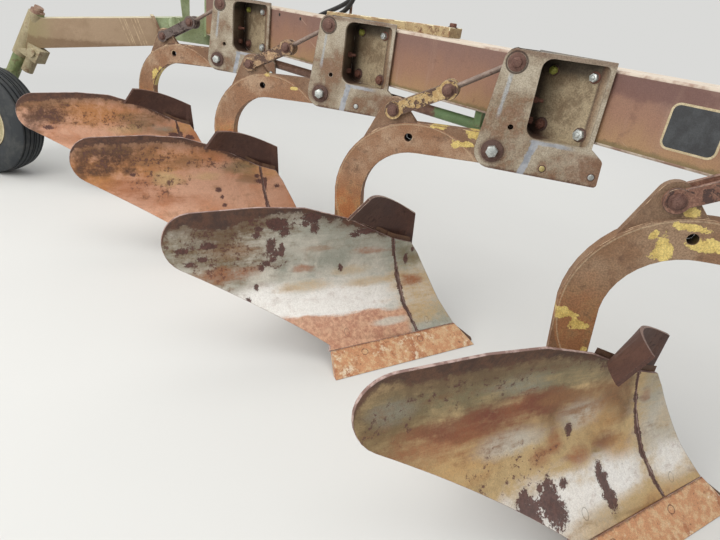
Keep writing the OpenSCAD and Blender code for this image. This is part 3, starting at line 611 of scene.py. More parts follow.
# Bare dark places with a crisp edge: centre and reach in mm
FLAKED = {
    1: ((-532, 106, 30, 30), (-464, 112, 22, 30), (-446, 96, 16, 14), (-303, 128, 8, 16),
        (-294, 102, 11, 24), (-284, 82, 12, 12), (-417, 134, 8, 6), (-386, 231, 7, 11), (-486, 140, 5, 6),
        (-560, 100, 18, 20)),
    2: ((-590, 410, 24, 16), (-566, 384, 12, 14), (-607, 338, 11, 20), (-592, 314, 8, 10),
        (-573, 326, 8, 18), (-486, 424, 24, 14), (-470, 392, 10, 14), (-502, 406, 10, 8),
        (-330, 362, 14, 7), (-304, 372, 26, 8), (-262, 388, 12, 6), (-652, 373, 8, 7), (-602, 295, 7, 6),
        (-622, 284, 12, 6), (-636, 272, 7, 6), (-645, 394, 10, 5), (-683, 187, 6, 6), (-656, 219, 5, 7),
        (-376, 254, 6, 8), (-134, 267, 6, 13), (-111, 299, 4, 6), (-867, 336, 16, 6), (-810, 309, 12, 5),
        (-847, 297, 10, 5), (-793, 347, 18, 7)),
    3: ((-169, 267, 8, 22), (-186, 278, 16, 7), (-203, 300, 7, 6), (-367, 244, 9, 7), (-355, 215, 5, 5),
        (-345, 184, 7, 5), (-700, 306, 8, 5), (-113, 256, 8, 6)),
    4: ((-207, 270, 24, 9), (-167, 262, 8, 18), (-122, 258, 18, 9), (-790, 292, 16, 7), (-300, 246, 6, 5)),
}

# Where the steel is pitted all over: centre and reach in mm
PITTED = {
    1: ((-640, 372, 220, 40), (-850, 340, 60, 60), (-340, 388, 90, 26), (-560, 190, 160, 40)),
    2: ((-770, 330, 160, 90), (-600, 300, 50, 50), (-560, 410, 160, 30)),
    3: ((-700, 372, 240, 60), (-400, 350, 140, 30), (-600, 280, 130, 60)),
    4: ((-720, 350, 170, 60), (-450, 330, 140, 50)),
}

# How high the pattern of pits has to stand before it shows
PIT_LIMIT = {1: 0.606, 2: 0.584, 3: 0.586, 4: 0.586}

# Width of the dark band under the upper edge, along the board, in metres
BAND_WIDTH = {
    1: ((-0.93, 0.014), (-0.86, 0.02), (-0.8, 0.036), (-0.62, 0.04), (-0.5, 0.03), (-0.4, 0.016),
        (-0.19, 0.012)),
    2: ((-0.93, 0.004), (-0.88, 0.03), (-0.83, 0.046), (-0.75, 0.07), (-0.69, 0.04), (-0.54, 0.02),
        (-0.19, 0.008)),
    3: ((-0.93, 0.014), (-0.84, 0.03), (-0.72, 0.034), (-0.58, 0.026), (-0.4, 0.014), (-0.19, 0.012)),
    4: ((-0.93, 0.014), (-0.84, 0.036), (-0.72, 0.032), (-0.58, 0.022), (-0.4, 0.014), (-0.19, 0.012)),
}
BOARD_BASE = {1: ("straw", "khaki"), 2: ("pale", "cool"), 3: ("pink", "orange"), 4: ("pink", "orange")}
FLUSH_BOLTS = ((-67, 74), (-376, 80))
# Flakes smaller than this, in mm, have a finer outline
SMALL_FLAKE = 18


def board_finish(i):
    """Scoured steel of a moldboard and its shin, with this bottom's own rust."""
    f = Finish(f"board_steel_{i}")
    along = f.axis_of(BOARD_ALONG, pivot(i))
    height = f.axis_of(UP, Vector((0, 0, 0)))
    cloud = f.noise(6.4, 8, 0.62, None, 0.3)
    spots = f.noise(31, 8, 0.72)
    wander = spots - 0.5
    crumbs = f.noise(95, 6, 0.75)
    scatter = crumbs - 0.5
    drawn = f.noise(24, 8, 0.68, f.stretched((0.3, 0.3, 1.4), (0, 0, BOARD_TURN)))
    fine = f.noise(420, 3, 0.6)
    grit = f.noise(210, 5, 0.8)
    base, second = BOARD_BASE[i]
    f.lay(f.two(TONES[base], TONES[second], cloud, 0.42, 0.66))
    outline = cloud * 0.3 + drawn * 0.4 + spots * 0.3
    broken = f.rise(drawn * 0.45 + crumbs * 0.35 + grit * 0.2, 0.40, 0.58) * 0.5 + 0.5
    grainy = f.rise(crumbs * 0.45 + spots * 0.4 + grit * 0.15, 0.40, 0.55) * 0.45 + 0.55
    rusty = []
    for tone, a, h, r, s, strength in CLOUDS[i]:
        blot = f.patch(along, height, (a, h), (r, s), 1.15, outline, 0.6) * strength
        if tone in GRAINY_TONES:
            blot = blot * grainy
        elif tone not in EVEN_TONES:
            blot = blot * broken
        f.lay(TONES[tone], blot)
        if tone in RUSTY_TONES:
            rusty.append(blot)
    if i == 2:
        low = f.edge(0.128 - height + (along + 0.3) * -0.03 + (drawn - 0.5) * 0.05, 0.012)
        low = low * f.edge(-0.115 - along, 0.04)
        f.lay(f.two((184, 124, 96), (214, 168, 136), spots * 0.5 + crumbs * 0.5, 0.40, 0.58), low * 0.92)
        f.lay(TONES["pale"], f.patch(along, height, (-212, 87), (58, 9), 0.7, outline, 0.5) * 0.85)
        rusty.append(low)
    grime = f.rise(drawn * 0.5 + spots * 0.5, 0.5, 0.64)
    f.lay(TONES["brown"], grime * (0.22 if i == 2 else 0.5))
    near_top = f.profile(along, UPPER_EDGE) - height
    wavy = wander * 0.07 + (cloud - 0.5) * 0.05 + scatter * 0.03
    width = f.profile(along, BAND_WIDTH[i])
    behind_joint = f.edge(-0.2 - along, 0.04)
    faded = f.rise(width * 1.9 - near_top + wavy, -0.03, 0.03) * behind_joint
    f.lay((104, 78, 54), faded * 0.7)
    softness = 0.010 if i == 1 else 0.005
    band = f.rise(width - near_top + wavy, -softness, softness) * behind_joint
    band_tone = f.two((66, 44, 38), (98, 66, 50), spots, 0.4, 0.62)
    f.lay(band_tone, band * (0.9 if i == 1 else 0.94))
    large = spots * 0.4 + crumbs * 0.35 + grit * 0.25
    small = crumbs * 0.4 + grit * 0.6
    flakes = []
    for a, h, r, s in FLAKED[i]:
        ragged = small if max(r, s) < SMALL_FLAKE else large
        flakes.append(f.patch(along, height, (a, h), (r * 1.25 + 1, s * 1.25 + 1), 1.25, ragged, 0.03))
    zone = any_of(f.patch(along, height, (a, h), (r, s), 0.7, outline, 0.5) for a, h, r, s in PITTED[i])
    limit = PIT_LIMIT[i]
    pitted = f.rise(crumbs * 0.55 + spots * 0.45 + zone * 0.05, limit, limit + 0.018) * zone
    stray = f.rise(f.noise(150, 4, 0.7), 0.70, 0.72)
    gap = (along - f.profile(height, JOINT_LINE)).size()
    lower_half = f.edge(0.27 - height, 0.08) - f.edge(0.13 - height, 0.07)
    worn_away = 0.0065 + lower_half * 0.003
    joint = f.edge(worn_away - gap + wander * 0.026 + scatter * 0.012, 0.0015)
    flaked = any_of(flakes + [pitted * 0.9, stray * 0.7, joint])
    f.lay(f.two((74, 46, 42), (94, 60, 54), crumbs, 0.4, 0.6), flaked * 0.95)
    rings = any_of(
        f.line(away(along - a * MM, height - h * MM) - 0.0085, 0.0013, scatter * 0.004, 0.0012)
        for a, h in FLUSH_BOLTS
    )
    f.lay((92, 68, 54), rings * 0.55)
    f.speckle((0.8, 0.78, 0.76), (1.14, 1.13, 1.12), fine * 0.6 + crumbs * 0.4, 0.36, 0.64, 0.8)
    scaled = any_of(rusty + [flaked, band])
    roughness = scaled * 0.25 + drawn * 0.14 + 0.36
    relief = drawn * 0.25 + fine * 0.12 + crumbs * 0.2 - flaked * 0.9 - rings * 0.5
    return f.done(roughness, (1 - scaled) * 0.25, relief, 0.0008, 0.7)


# Pale pinkish cut edges of the boards and shares: bare steel, and a painted highlight along them.
BOARD_RIM = worn_edge("board_cut_edges", (176, 152, 144), (124, 96, 88), 0.6)
BOARD_BACK = weathered("board_backs", (112, 82, 62), (142, 106, 76), (84, 54, 42), 0.6, 8, 0.75)


def share_finish(i):
    """Orange rust with a cream crust, dark pits and two flush bolts."""
    f = Finish(f"share_rust_{i}")
    down = f.axis_of(UP, on_bottom(i, *SHARE_REAR))
    along = f.axis_of(SHARE_ALONG, on_bottom(i, *SHARE_REAR))
    cloud = f.noise(9.0, 8, 0.68, None, 0.4)
    spots = f.noise(44, 8, 0.74)
    crumbs = f.noise(120, 6, 0.76)
    scatter = crumbs - 0.5
    fine = f.noise(380, 3, 0.6)
    f.lay(f.two((206, 152, 112), (176, 114, 78), cloud, 0.46, 0.62))
    f.lay((220, 190, 150), f.rise(spots, 0.46, 0.58) * 0.75)
    crust = f.rise(cloud * 0.4 + crumbs * 0.3 + spots * 0.3, 0.53, 0.58)
    f.lay((236, 222, 200), crust * 0.8)
    pits = f.rise(crumbs * 0.6 + (1 - spots) * 0.4, 0.585, 0.615)
    f.lay((98, 62, 44), pits * 0.85)
    seam = f.edge(0.004 + down + scatter * 0.012, 0.003)
    f.lay((104, 66, 50), seam * 0.7)
    rings = any_of(
        f.line(away(along - a, (down + 0.016) * 2) - 0.011, 0.0022, scatter * 0.006, 0.002)
        for a in SHARE_BOLTS
    )
    f.lay((96, 58, 44), rings * 0.8)
    f.speckle((0.74, 0.72, 0.7), (1.16, 1.15, 1.14), fine)
    return f.done(spots * 0.2 + 0.5, 0.1, crumbs + fine * 0.3 - pits * 0.6 - rings * 0.6, 0.0011, 0.75)


TRASH_RUST = weathered("trash_board_rust", (74, 46, 37), (92, 61, 49), (56, 34, 27), 0.5, 16, 0.62,
                       dust=(146, 116, 104))
# Pale edges of the trash boards: paint rubbed thin, and a painted highlight where the plate's thickness
# catches the light.
TRASH_EDGE = worn_edge("trash_board_edges", (206, 188, 170), (120, 84, 70), 0.6)
FROG_IRON = weathered("frog_iron", (92, 68, 54), (120, 88, 64), (74, 46, 36), 0.55, 12, 0.8, grain=0.001)


# Slanted pale scratches on the tail arm, from its rear end, in metres
ARM_SCRATCHES = (0.430, 0.443, 0.450, 0.474, 0.487, 0.498)


def arm_finish():
    """Tan paint of the tail arm with slanted pale scratches, a green tinge at its rear end and painted light
    on its top.
    """
    f = Finish("tail_arm_paint")
    cloud, spots, fine = f.grains(6.5, 30, 360)
    wander = spots - 0.5
    rear = f.axis_of((1, 0, 0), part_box("tail_arm")[0])
    f.lay(f.two((158, 134, 108), (174, 150, 124), cloud, 0.4, 0.64))
    f.lay((146, 138, 96), f.edge(0.2 - rear + (cloud - 0.5) * 0.3, 0.16) * 0.75)
    height = f.axis_of(UP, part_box("tail_arm")[0])
    slanted = rear + (height - 0.1) * 0.28
    for place in ARM_SCRATCHES:
        scratch = f.line(slanted - place, 0.0020, wander * 0.007, 0.002)
        f.lay((214, 192, 158), scratch * f.rise(spots, 0.3, 0.5) * 0.8)
    f.lay((118, 92, 66), f.edge(0.07 - height + wander * 0.05, 0.02) * 0.6)
    f.lay((118, 84, 66), f.edge(rear - 0.545 + wander * 0.02, 0.01) * 0.8)
    f.lay((120, 86, 66), f.rise(spots, 0.64, 0.72) * 0.55)
    # The top is lighter: painted light falling on it from above.
    top = f.rise(f.up_facing(), 0.4, 0.85)
    f.lay((208, 200, 168), top * f.rise(spots, 0.3, 0.5) * 0.85)
    f.speckle((0.82, 0.8, 0.78), (1.14, 1.13, 1.12), fine)
    return f.done(spots * 0.2 + 0.5, 0.0, fine * 0.4 + spots * 0.7, 0.0006, 0.6)


def leg_finish():
    """Green paint of the wheel leg, with a rusty cap above the spindle head."""
    f = Finish("wheel_leg_paint")
    cloud = f.noise(12, 7, 0.65)
    spots = f.noise(46, 7, 0.7)
    fine = f.noise(380, 3, 0.6)
    f.lay(f.two((108, 122, 78), (148, 156, 112), cloud, 0.4, 0.64))
    f.lay((104, 82, 56), f.rise(spots, 0.52, 0.62) * 0.8)
    cap = f.edge(f.axis_of(UP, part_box("wheel_leg")[1]) + 0.05, 0.01)
    f.lay(f.two((124, 92, 76), (156, 130, 112), spots, 0.4, 0.6), cap)
    f.speckle((0.76, 0.74, 0.72), (1.14, 1.13, 1.12), fine)
    return f.done(spots * 0.2 + 0.5, 0.0, fine * 0.4 + spots, 0.0007, 0.7)


def rod_finish():
    """Steering rod: green in its middle, dark and rusty towards both ends."""
    f = Finish("steering_rod_paint")
    along = f.axis_of(ALONG_BEAM, pivot(2))
    cloud = f.noise(5, 7, 0.62)
    spots = f.noise(46, 7, 0.7)
    fine = f.noise(380, 3, 0.6)
    green = f.two((98, 124, 84), (126, 152, 108), cloud, 0.4, 0.64)
    worn = f.two((96, 68, 56), (120, 92, 76), spots, 0.42, 0.6)
    painted = f.edge(along + 0.42 + (spots - 0.5) * 0.1, 0.02) * f.edge(0.6 - along, 0.1)
    f.lay(worn)
    f.lay(green, painted * f.edge(0.66 - spots, 0.06))
    f.speckle((0.76, 0.74, 0.72), (1.14, 1.13, 1.12), fine)
    return f.done(spots * 0.2 + 0.5, 0.0, fine * 0.4 + spots, 0.0006, 0.7)


ARM_PAINT = arm_finish()
LEG_PAINT = leg_finish()
ROD_PAINT = rod_finish()
ARM_EDGE = worn_edge("tail_arm_edges", (214, 206, 178), (140, 116, 92), 0.6)
PALE_GREEN = weathered("pale_green_paint", (138, 152, 112), (168, 184, 148), (112, 92, 64), 0.34, 8, 0.6,
                       dust=(190, 192, 168))
HEAD_PAINT = weathered("spindle_paint", (146, 134, 104), (176, 166, 136), (120, 90, 66), 0.48, 13, 0.65,
                       grain=0.0007, dust=(196, 188, 160))
BAR_CREAM = weathered("top_bar_cream", (150, 124, 92), (190, 172, 132), (112, 78, 58), 0.5, 11, 0.65,
                      grain=0.0007, dust=(222, 214, 180))
HITCH_RED = weathered("hitch_red_brown", (136, 84, 68), (162, 112, 92), (92, 58, 48), 0.45, 7, 0.65,
                      grain=0.0007, dust=(176, 150, 134))
STAND_IRON = weathered("stand_iron", (112, 84, 66), (140, 108, 84), (82, 52, 42), 0.55, 9, 0.7, grain=0.0008)
RIM_CREAM = weathered("wheel_rim_cream", (188, 178, 142), (206, 198, 166), (132, 92, 60), 0.42, 12, 0.6)
EDGE_RUST = worn_edge("rubbed_paint_edges", (180, 152, 128), (110, 80, 64), 0.5)


def rubber(name, base, dust, shine):
    """Aged rubber with dust and scuffs."""
    f = Finish(name)
    cloud = f.noise(9, 6, 0.6)
    spots = f.noise(60, 7, 0.7)
    fine = f.noise(500, 3, 0.6)
    f.lay(base)
    f.lay(dust, f.rise(cloud * 0.6 + spots * 0.4, 0.46, 0.68) * 0.5)
    scuff = f.rise(f.noise(26, 5, 0.7), 0.64, 0.70)
    f.lay(dust, scuff * 0.6)
    return f.done(spots * 0.2 + shine, 0.0, fine * 0.5 + spots * 0.5, 0.0004, 0.6)


TYRE_RUBBER = rubber("tyre_rubber", (38, 42, 46), (84, 84, 80), 0.55)
HOSE_RUBBER = rubber("hose_rubber", (26, 26, 28), (66, 66, 66), 0.4)


def piece(name, work, finishes, body, sharp=35.0):
    """Makes an object of a bmesh whose place is in its vertices."""
    mesh = bpy.data.meshes.new(name)
    work.to_mesh(mesh)
    work.free()
    for finish in finishes:
        mesh.materials.append(finish)
    mesh.polygons.foreach_set("use_smooth", [True] * len(mesh.polygons))
    mesh.set_sharp_from_angle(angle=math.radians(sharp))
    made = bpy.data.objects.new(name, mesh)
    bpy.context.scene.collection.objects.link(made)
    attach(made, body)
    return made


def merged_copy(node):
    """A copy of a CAD node with its loose triangles joined into plane faces."""
    work = bmesh.new()
    work.from_mesh(frame["nodes"][node].data)
    for face in work.faces:
        face.material_index = 0
    bmesh.ops.remove_doubles(work, verts=work.verts, dist=1e-5)
    bmesh.ops.dissolve_limit(work, angle_limit=math.radians(0.4), verts=work.verts, edges=work.edges)
    return work


def dressed(node, finish, edge_finish, edge, segments=2, angle=32.0, work=None, more=()):
    """Stands for a CAD node: the same shape with rounded edges that have a finish of their own."""
    work = work or merged_copy(node)
    body = frame["nodes"][node]["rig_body"]
    made = piece(f"{node}_finished", work, (finish, edge_finish) + tuple(more), body)
    bevel = made.modifiers.new("rounded_edges", "BEVEL")
    bevel.width = edge * MM
    bevel.segments = segments
    bevel.limit_method = "ANGLE"
    bevel.angle_limit = math.radians(angle)
    bevel.use_clamp_overlap = True
    bevel.harden_normals = True
    bevel.material = 1
    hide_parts(node)
    return made


def stub(sides, radius, low, high, chamfer, finish, segments=2):
    """A disc or prism on Z in millimetres, with a rounded outer rim."""
    work = bmesh.new()
    bmesh.ops.create_cone(work, cap_ends=True, segments=sides, radius1=radius * MM, radius2=radius * MM,
                          depth=(high - low) * MM)
    bmesh.ops.translate(work, verts=work.verts, vec=(0, 0, (high + low) / 2 * MM))
    rim = [e for e in work.edges if min(v.co.z for v in e.verts) > (high - 0.01) * MM]
    bmesh.ops.bevel(work, geom=rim, offset=chamfer * MM, offset_type="OFFSET", segments=segments, profile=0.5,
                    affect="EDGES", material=-1)
    for face in work.faces:
        face.material_index = finish
    return work


class Fasteners:
    """Bolts, nuts, washers and pin heads of one body, gathered into one piece."""

    def __init__(self, name, body, slot, finishes):
        self.name = name
        self.body = body
        self.slot = slot
        self.finishes = finishes
        self.work = bmesh.new()
        self.kinds = {"washer": self.washer, "hexagon": self.hexagon, "head": self.head}

    def add(self, shape, place, outward, turn=0.0):
        """Puts a shape that stands on Z at a place, facing outward."""
        facing = Vector(outward).normalized().to_track_quat("Z", "Y").to_matrix().to_4x4()
        where = Matrix.Translation(place) @ facing @ Matrix.Rotation(math.radians(turn), 4, "Z")
        bmesh.ops.transform(shape, matrix=where, verts=shape.verts)
        mesh = bpy.data.meshes.new("fastener")
        shape.to_mesh(mesh)
        shape.free()
        self.work.from_mesh(mesh)
        bpy.data.meshes.remove(mesh)

    def washer(self, place, outward, radius, thick, finish):
        chamfer = min(0.8, thick * 0.4)
        self.add(stub(32, radius, -1, thick, chamfer, self.finishes.index(finish)), place, outward)

    def hexagon(self, place, outward, flats, low, high, finish, turn=0.0):
        number = self.finishes.index(finish)
        chamfer = flats * 0.05
        sides = stub(6, flats / math.sqrt(3), low, high - flats * 0.04, chamfer, number)
        self.add(sides, place, outward, turn)
        self.add(stub(28, flats * 0.47, high - flats * 0.2, high, chamfer, number), place, outward)

    def head(self, place, outward, radius, low, high, finish):
        chamfer = min(high - low, radius) * 0.6
        self.add(stub(28, radius, low, high, chamfer, self.finishes.index(finish), 4), place, outward)

    def finished(self):
        return piece(self.name, self.work, self.finishes, self.body, 30.0)


NEAR = Vector((0, -1, 0))
FAR = Vector((0, 1, 0))
AHEAD = Vector((1, 0, 0))

# Bolts in the pocket of a bracket: along the beam and up, size over flats, washer's radius, both finishes
POCKET_FLOOR = 148
POCKET_BOLTS = (
    (48, 236, 21, 15, YELLOW_NUT, IRON_DARK),
    (172, 237, 21, 16, ZINC, RED_NUT),
    (176, 82, 28, 20, ZINC, IRON_DARK),
    (50, 84, 26, 20, RED_NUT, IRON_DARK),
)
# The bolt that is rusty and not plated: its bottom and its row
RUSTY_BOLT = (3, 2)
# Screws in the lower flange: ahead of and above the trip pivot; the flange is this thick
FLANGE_SCREWS = ((151, -25.5, BRASS), (288, -24, ZINC))
FLANGE_THICK = 14
# The other bolts and pins of a bracket, and a near-black disc of painted shade in a bore: kind, place from
# the trip pivot, way out, sizes and finish
BRACKET_ROWS = (
    ("washer", (0, 0, 0), NEAR, (32.5, 5, IRON_DARK)),
    ("washer", (0, 76, 0), FAR, (30, 4, IRON_DARK)),
    ("washer", (12, 0, 248), NEAR, (25, 3, PIN_HEAD)),
    ("head", (12, 0, 248), NEAR, (14, 2, 8, PIN_HEAD)),
    ("washer", (12, 76, 248), FAR, (22, 3, IRON_DARK)),
    # Painted shade: a near-black disc in the bore of the far cheek.
    ("head", (36, 66, 75), NEAR, (7.8, -3, 0, BORE_SHADE)),
    ("washer", (80, 66, 152), AHEAD, (11, 3, RED_NUT)),
    ("hexagon", (80, 66, 152), AHEAD, (17, 2, 14, RED_NUT, 20)),
    ("head", (80, 66, 152), AHEAD, (5.5, 8, 30, RED_NUT)),
    ("hexagon", (80, 72, 92), AHEAD, (19, -1, 14, RED_NUT, 8)),
)


def add_bracket_fasteners(i):
    """Bolts, nuts, screws and pins of a bracket, and a disc of painted shade in a bore."""
    bolts = Fasteners(f"bracket_bolts_{i}", "frame", "hitch_steel",
                      (IRON_DARK, ZINC, BRASS, YELLOW_NUT, RED_NUT, PIN_HEAD, BORE_SHADE))
    for row, (x, z, flats, washer, finish, washer_finish) in enumerate(POCKET_BOLTS):
        if (i, row) == RUSTY_BOLT:
            finish = RED_NUT
        place = on_beam(x, POCKET_FLOOR, z, i)
        bolts.washer(place, -BEHIND_BEAM, washer, 3, washer_finish)
        bolts.hexagon(place, -BEHIND_BEAM, flats, 2, 15, finish, 12 * i + x)
        bolts.head(place, -BEHIND_BEAM, flats * 0.3, 10, 19, finish)
    for x, z, finish in FLANGE_SCREWS:
        place = on_bottom(i, x, 0, z)
        bolts.washer(place, NEAR, 11, 0.6, IRON_DARK)
        bolts.head(place, NEAR, 8.5, 0, 3, ZINC if i == 3 else finish)
        bolts.hexagon(on_bottom(i, x, FLANGE_THICK, z), FAR, 17, 0, 9, RED_NUT)
    bolts.hexagon(pivot(i), NEAR, 31, 4, 21, ZINC, 10 + 17 * i)
    for kind, place, outward, sizes in BRACKET_ROWS:
        bolts.kinds[kind](on_bottom(i, *place), outward, *sizes)
    bolts.finished()


# The trip pin's near end is cut at this depth, within this distance of the pivot, in metres
PIN_CUT = 0.003
PIN_WITHIN = 0.02
# Rounded corners of the lower flange: back from its front end, up from its lower edge, and radius, in metres
FLANGE_CORNERS = ((0.0, 0.0, 0.010), (0.004, 0.075, 0.006))


def bracket_work(i):
    """The bracket with its trip pin cut short, so that the bolt head takes its place."""
    work = merged_copy(f"bracket_{i}")
    at = pivot(i)
    for vertex in work.verts:
        off = vertex.co - at
        if off.y < -PIN_CUT and math.hypot(off.x, off.z) < PIN_WITHIN:
            vertex.co.y = at.y - PIN_CUT
    low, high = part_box(f"bracket_{i}")
    for back, up, radius in FLANGE_CORNERS:
        x, z = high.x - back, low.z + up
        corner = [e for e in work.edges if all(math.hypot(v.co.x - x, v.co.z - z) < 0.001 for v in e.verts)]
        bmesh.ops.bevel(work, geom=corner, offset=radius, offset_type="OFFSET", segments=5, profile=0.5,
                        affect="EDGES", material=-1)
    return work


# The pins of a toggle linkage from the trip pivot, ahead and up, and their near and far ends
KNEE = (-160, 145)
LUG = (-314, 62)
PIN_ENDS = ((11, NEAR), (65, FAR))
# A near-black disc of painted shade in the hole in a shank's side
SHANK_HOLE_SHADE = (-256, 55, -11)
# Keeps two faces in one plane apart, in metres
CLEAR = 0.0006


def add_strap_pins(i):
    """Pins at the knee and at the shank's lug, and a disc of painted shade in the shank's hole."""
    knee = Fasteners(f"knee_pins_{i}", f"toggle_strap_{i}", "rod_rust", (IRON_DARK, PIN_HEAD))
    lug = Fasteners(f"lug_pins_{i}", f"bottom_{i}", "rod_rust", (IRON_DARK, PIN_HEAD, BORE_SHADE))
    lug.head(on_bottom(i, *SHANK_HOLE_SHADE), NEAR, 11.8, -3, 0, BORE_SHADE)
    for y, outward in PIN_ENDS:
        place = on_bottom(i, KNEE[0], y, KNEE[1])
        knee.washer(place, outward, 19.5, 4, PIN_HEAD)
        knee.head(place, outward, 14.5, 3, 14, PIN_HEAD)
        place = on_bottom(i, LUG[0], y, LUG[1])
        lug.washer(place + outward * CLEAR, outward, 18, 4, PIN_HEAD)
        lug.hexagon(place, outward, 25, 3, 13, PIN_HEAD, 12)
    knee.finished()
    lug.finished()


# The roll that the boards are bent to: a point of its axis from the trip pivot in mm, and its dip
ROLL_AT = (97, -185, -357)
ROLL_DIP = math.radians(5.9)
ROLL_ALONG = Vector((math.cos(BOARD_TURN) * math.cos(ROLL_DIP), math.sin(BOARD_TURN) * math.cos(ROLL_DIP),
                     -math.sin(ROLL_DIP)))
BOARD_ACROSS = Vector((-math.sin(BOARD_TURN), math.cos(BOARD_TURN), 0))
# Radius of the backs of the boards, in metres
BOARD_OUT = 0.378


def on_roll(i, along, height, radius):
    """The place behind the boards of bottom i at a distance from the roll's axis."""
    base = pivot(i) + BOARD_ALONG * along
    base.z = height
    off = base - on_bottom(i, *ROLL_AT)
    flat = off - ROLL_ALONG * off.dot(ROLL_ALONG)
    across = BOARD_ACROSS - ROLL_ALONG * BOARD_ACROSS.dot(ROLL_ALONG)
    a, b, c = across.dot(across), flat.dot(across), flat.dot(flat) - radius * radius
    return base + BOARD_ACROSS * ((-b + math.sqrt(b * b - a * c)) / a)


# Dark strips of painted shade behind the boards: how far behind them, and how thick
STRIP_OFF = 0.0008
STRIP_THICK = 0.0025
# The strip behind a joint: half its width, its lower and upper end above the soles
JOINT_HALF = 0.013
JOINT_ENDS = (0.075, 0.322)
# The line of the joint below and above its bend: a height, the place along the board there, and the lean
JOINT_BEND = 0.136
JOINT_BELOW = (0.03, -0.106, -0.355)
JOINT_ABOVE = (0.136, -0.150, -0.195)
# The strip behind the upper edge: its ends along the board, and how far it stands above and below the edge
UPPER_ENDS = (-0.355, -0.120)
UPPER_RISE = 0.016


def between(ends, share):
    """The place between two ends for a share of minus one to one."""
    return ends[0] + (ends[1] - ends[0]) * (share + 1) / 2


def on_joint(across, up):
    """Along and height of a point of the strip behind a joint."""
    height = between(JOINT_ENDS, up)
    level, along, lean = JOINT_ABOVE if height > JOINT_BEND else JOINT_BELOW
    return along + (height - level) * lean + across * JOINT_HALF, height


def on_upper_edge(across, up):
    """Along and height of a point of the strip behind the upper edge."""
    along = between(UPPER_ENDS, across)
    for (a, low), (b, high) in zip(UPPER_EDGE, UPPER_EDGE[1:]):
        if a <= along <= b:
            return along, low + (high - low) * (along - a) / (b - a) + up * UPPER_RISE


def add_shade_strip(name, i, columns, rows, place):
    """A dark strip of painted shade that closes what would let light through between or above the boards of
    bottom i.
    """
    work = bmesh.new()
    bmesh.ops.create_grid(work, x_segments=columns, y_segments=rows, size=1)
    for vertex in work.verts:
        vertex.co = on_roll(i, *place(vertex.co.x, vertex.co.y), BOARD_OUT + STRIP_OFF)
    bmesh.ops.solidify(work, geom=work.faces[:], thickness=STRIP_THICK)
    bmesh.ops.recalc_face_normals(work, faces=work.faces)
    piece(f"{name}_{i}", work, (FROG_IRON,), f"bottom_{i}")


def add_board(node, i, finish):
    """A rolled board: worked face, cut edges and back each with a finish."""
    work = merged_copy(node)
    centre = on_bottom(i, *ROLL_AT)
    for face in work.faces:
        off = face.calc_center_median() - centre
        outward = (off - ROLL_ALONG * off.dot(ROLL_ALONG)).normalized()
        facing = face.normal.dot(outward)
        face.material_index = 0 if facing < -0.7 else (2 if facing > 0.7 else 1)
    dressed(node, finish, BOARD_RIM, 1.2, 2, 40.0, work, (BOARD_BACK,))


# The plate on the beam: its ends along and above, and how far behind the pivots the beam's face is, in mm
PLATE_X = (385, 522)
PLATE_Z = (102, 219)
BEAM_FACE = 160
# Radius of its corners, width of its border and its thickness, in metres
PLATE_CORNER = 0.022
PLATE_BORDER = 0.0055
PLATE_THICK = 0.0008


def add_name_place():
    """The blank dark plate with its pale border on the beam."""
    work = bmesh.new()
    bmesh.ops.create_grid(work, x_segments=1, y_segments=1, size=1)
    size = ((PLATE_X[1] - PLATE_X[0]) / 2 * MM, (PLATE_Z[1] - PLATE_Z[0]) / 2 * MM, 1)
    bmesh.ops.scale(work, vec=size, verts=work.verts)
    bmesh.ops.bevel(work, geom=work.verts[:], offset=PLATE_CORNER, offset_type="OFFSET", segments=8,
                    profile=0.5, affect="VERTICES", material=-1)
    bmesh.ops.inset_individual(work, faces=work.faces[:], thickness=PLATE_BORDER)
    panel = max(work.faces, key=lambda face: face.calc_area())
    panel.material_index = 1
    bmesh.ops.solidify(work, geom=work.faces[:], thickness=PLATE_THICK)
    bmesh.ops.recalc_face_normals(work, faces=work.faces)
    centre = on_beam(sum(PLATE_X) / 2, BEAM_FACE, sum(PLATE_Z) / 2)
    turn = Matrix((ALONG_BEAM, UP, -BEHIND_BEAM)).transposed().to_4x4()
    where = Matrix.Translation(centre - BEHIND_BEAM * CLEAR) @ turn
    bmesh.ops.transform(work, matrix=where, verts=work.verts)
    border = weathered("plate_border", (188, 172, 138), (206, 194, 162), (160, 130, 100), 0.3, 40, 0.6,
                       grain=0.0002)
    panel_black = weathered("plate_black", (44, 46, 50), (62, 66, 70), (120, 92, 70), 0.12, 30, 0.5,
                            grain=0.0002)
    piece("name_place", work, (border, panel_black), "frame")


# Section of the tyre in mm out from the rim, in from the tread and inside, with shares of half its width
TYRE_WALL = ((0, 0.66), (6, 0.80), (22, 0.90), (40, 0.965), (56, 0.998), (66, 1.0), (69, 0.985), (73, 0.995),
             (86, 0.965))
TYRE_TREAD = ((12, 0.87), (7, 0.82), (6, 0.72), (14, 0.70), (14, 0.64), (4, 0.62), (2, 0.40), (11, 0.385),
              (11, 0.325), (1, 0.31), (0, 0.12), (9, 0.105), (9, 0.05), (0, 0.035))
TYRE_INSIDE = ((-1, -0.5), (12, 0.0), (-1, 0.5))


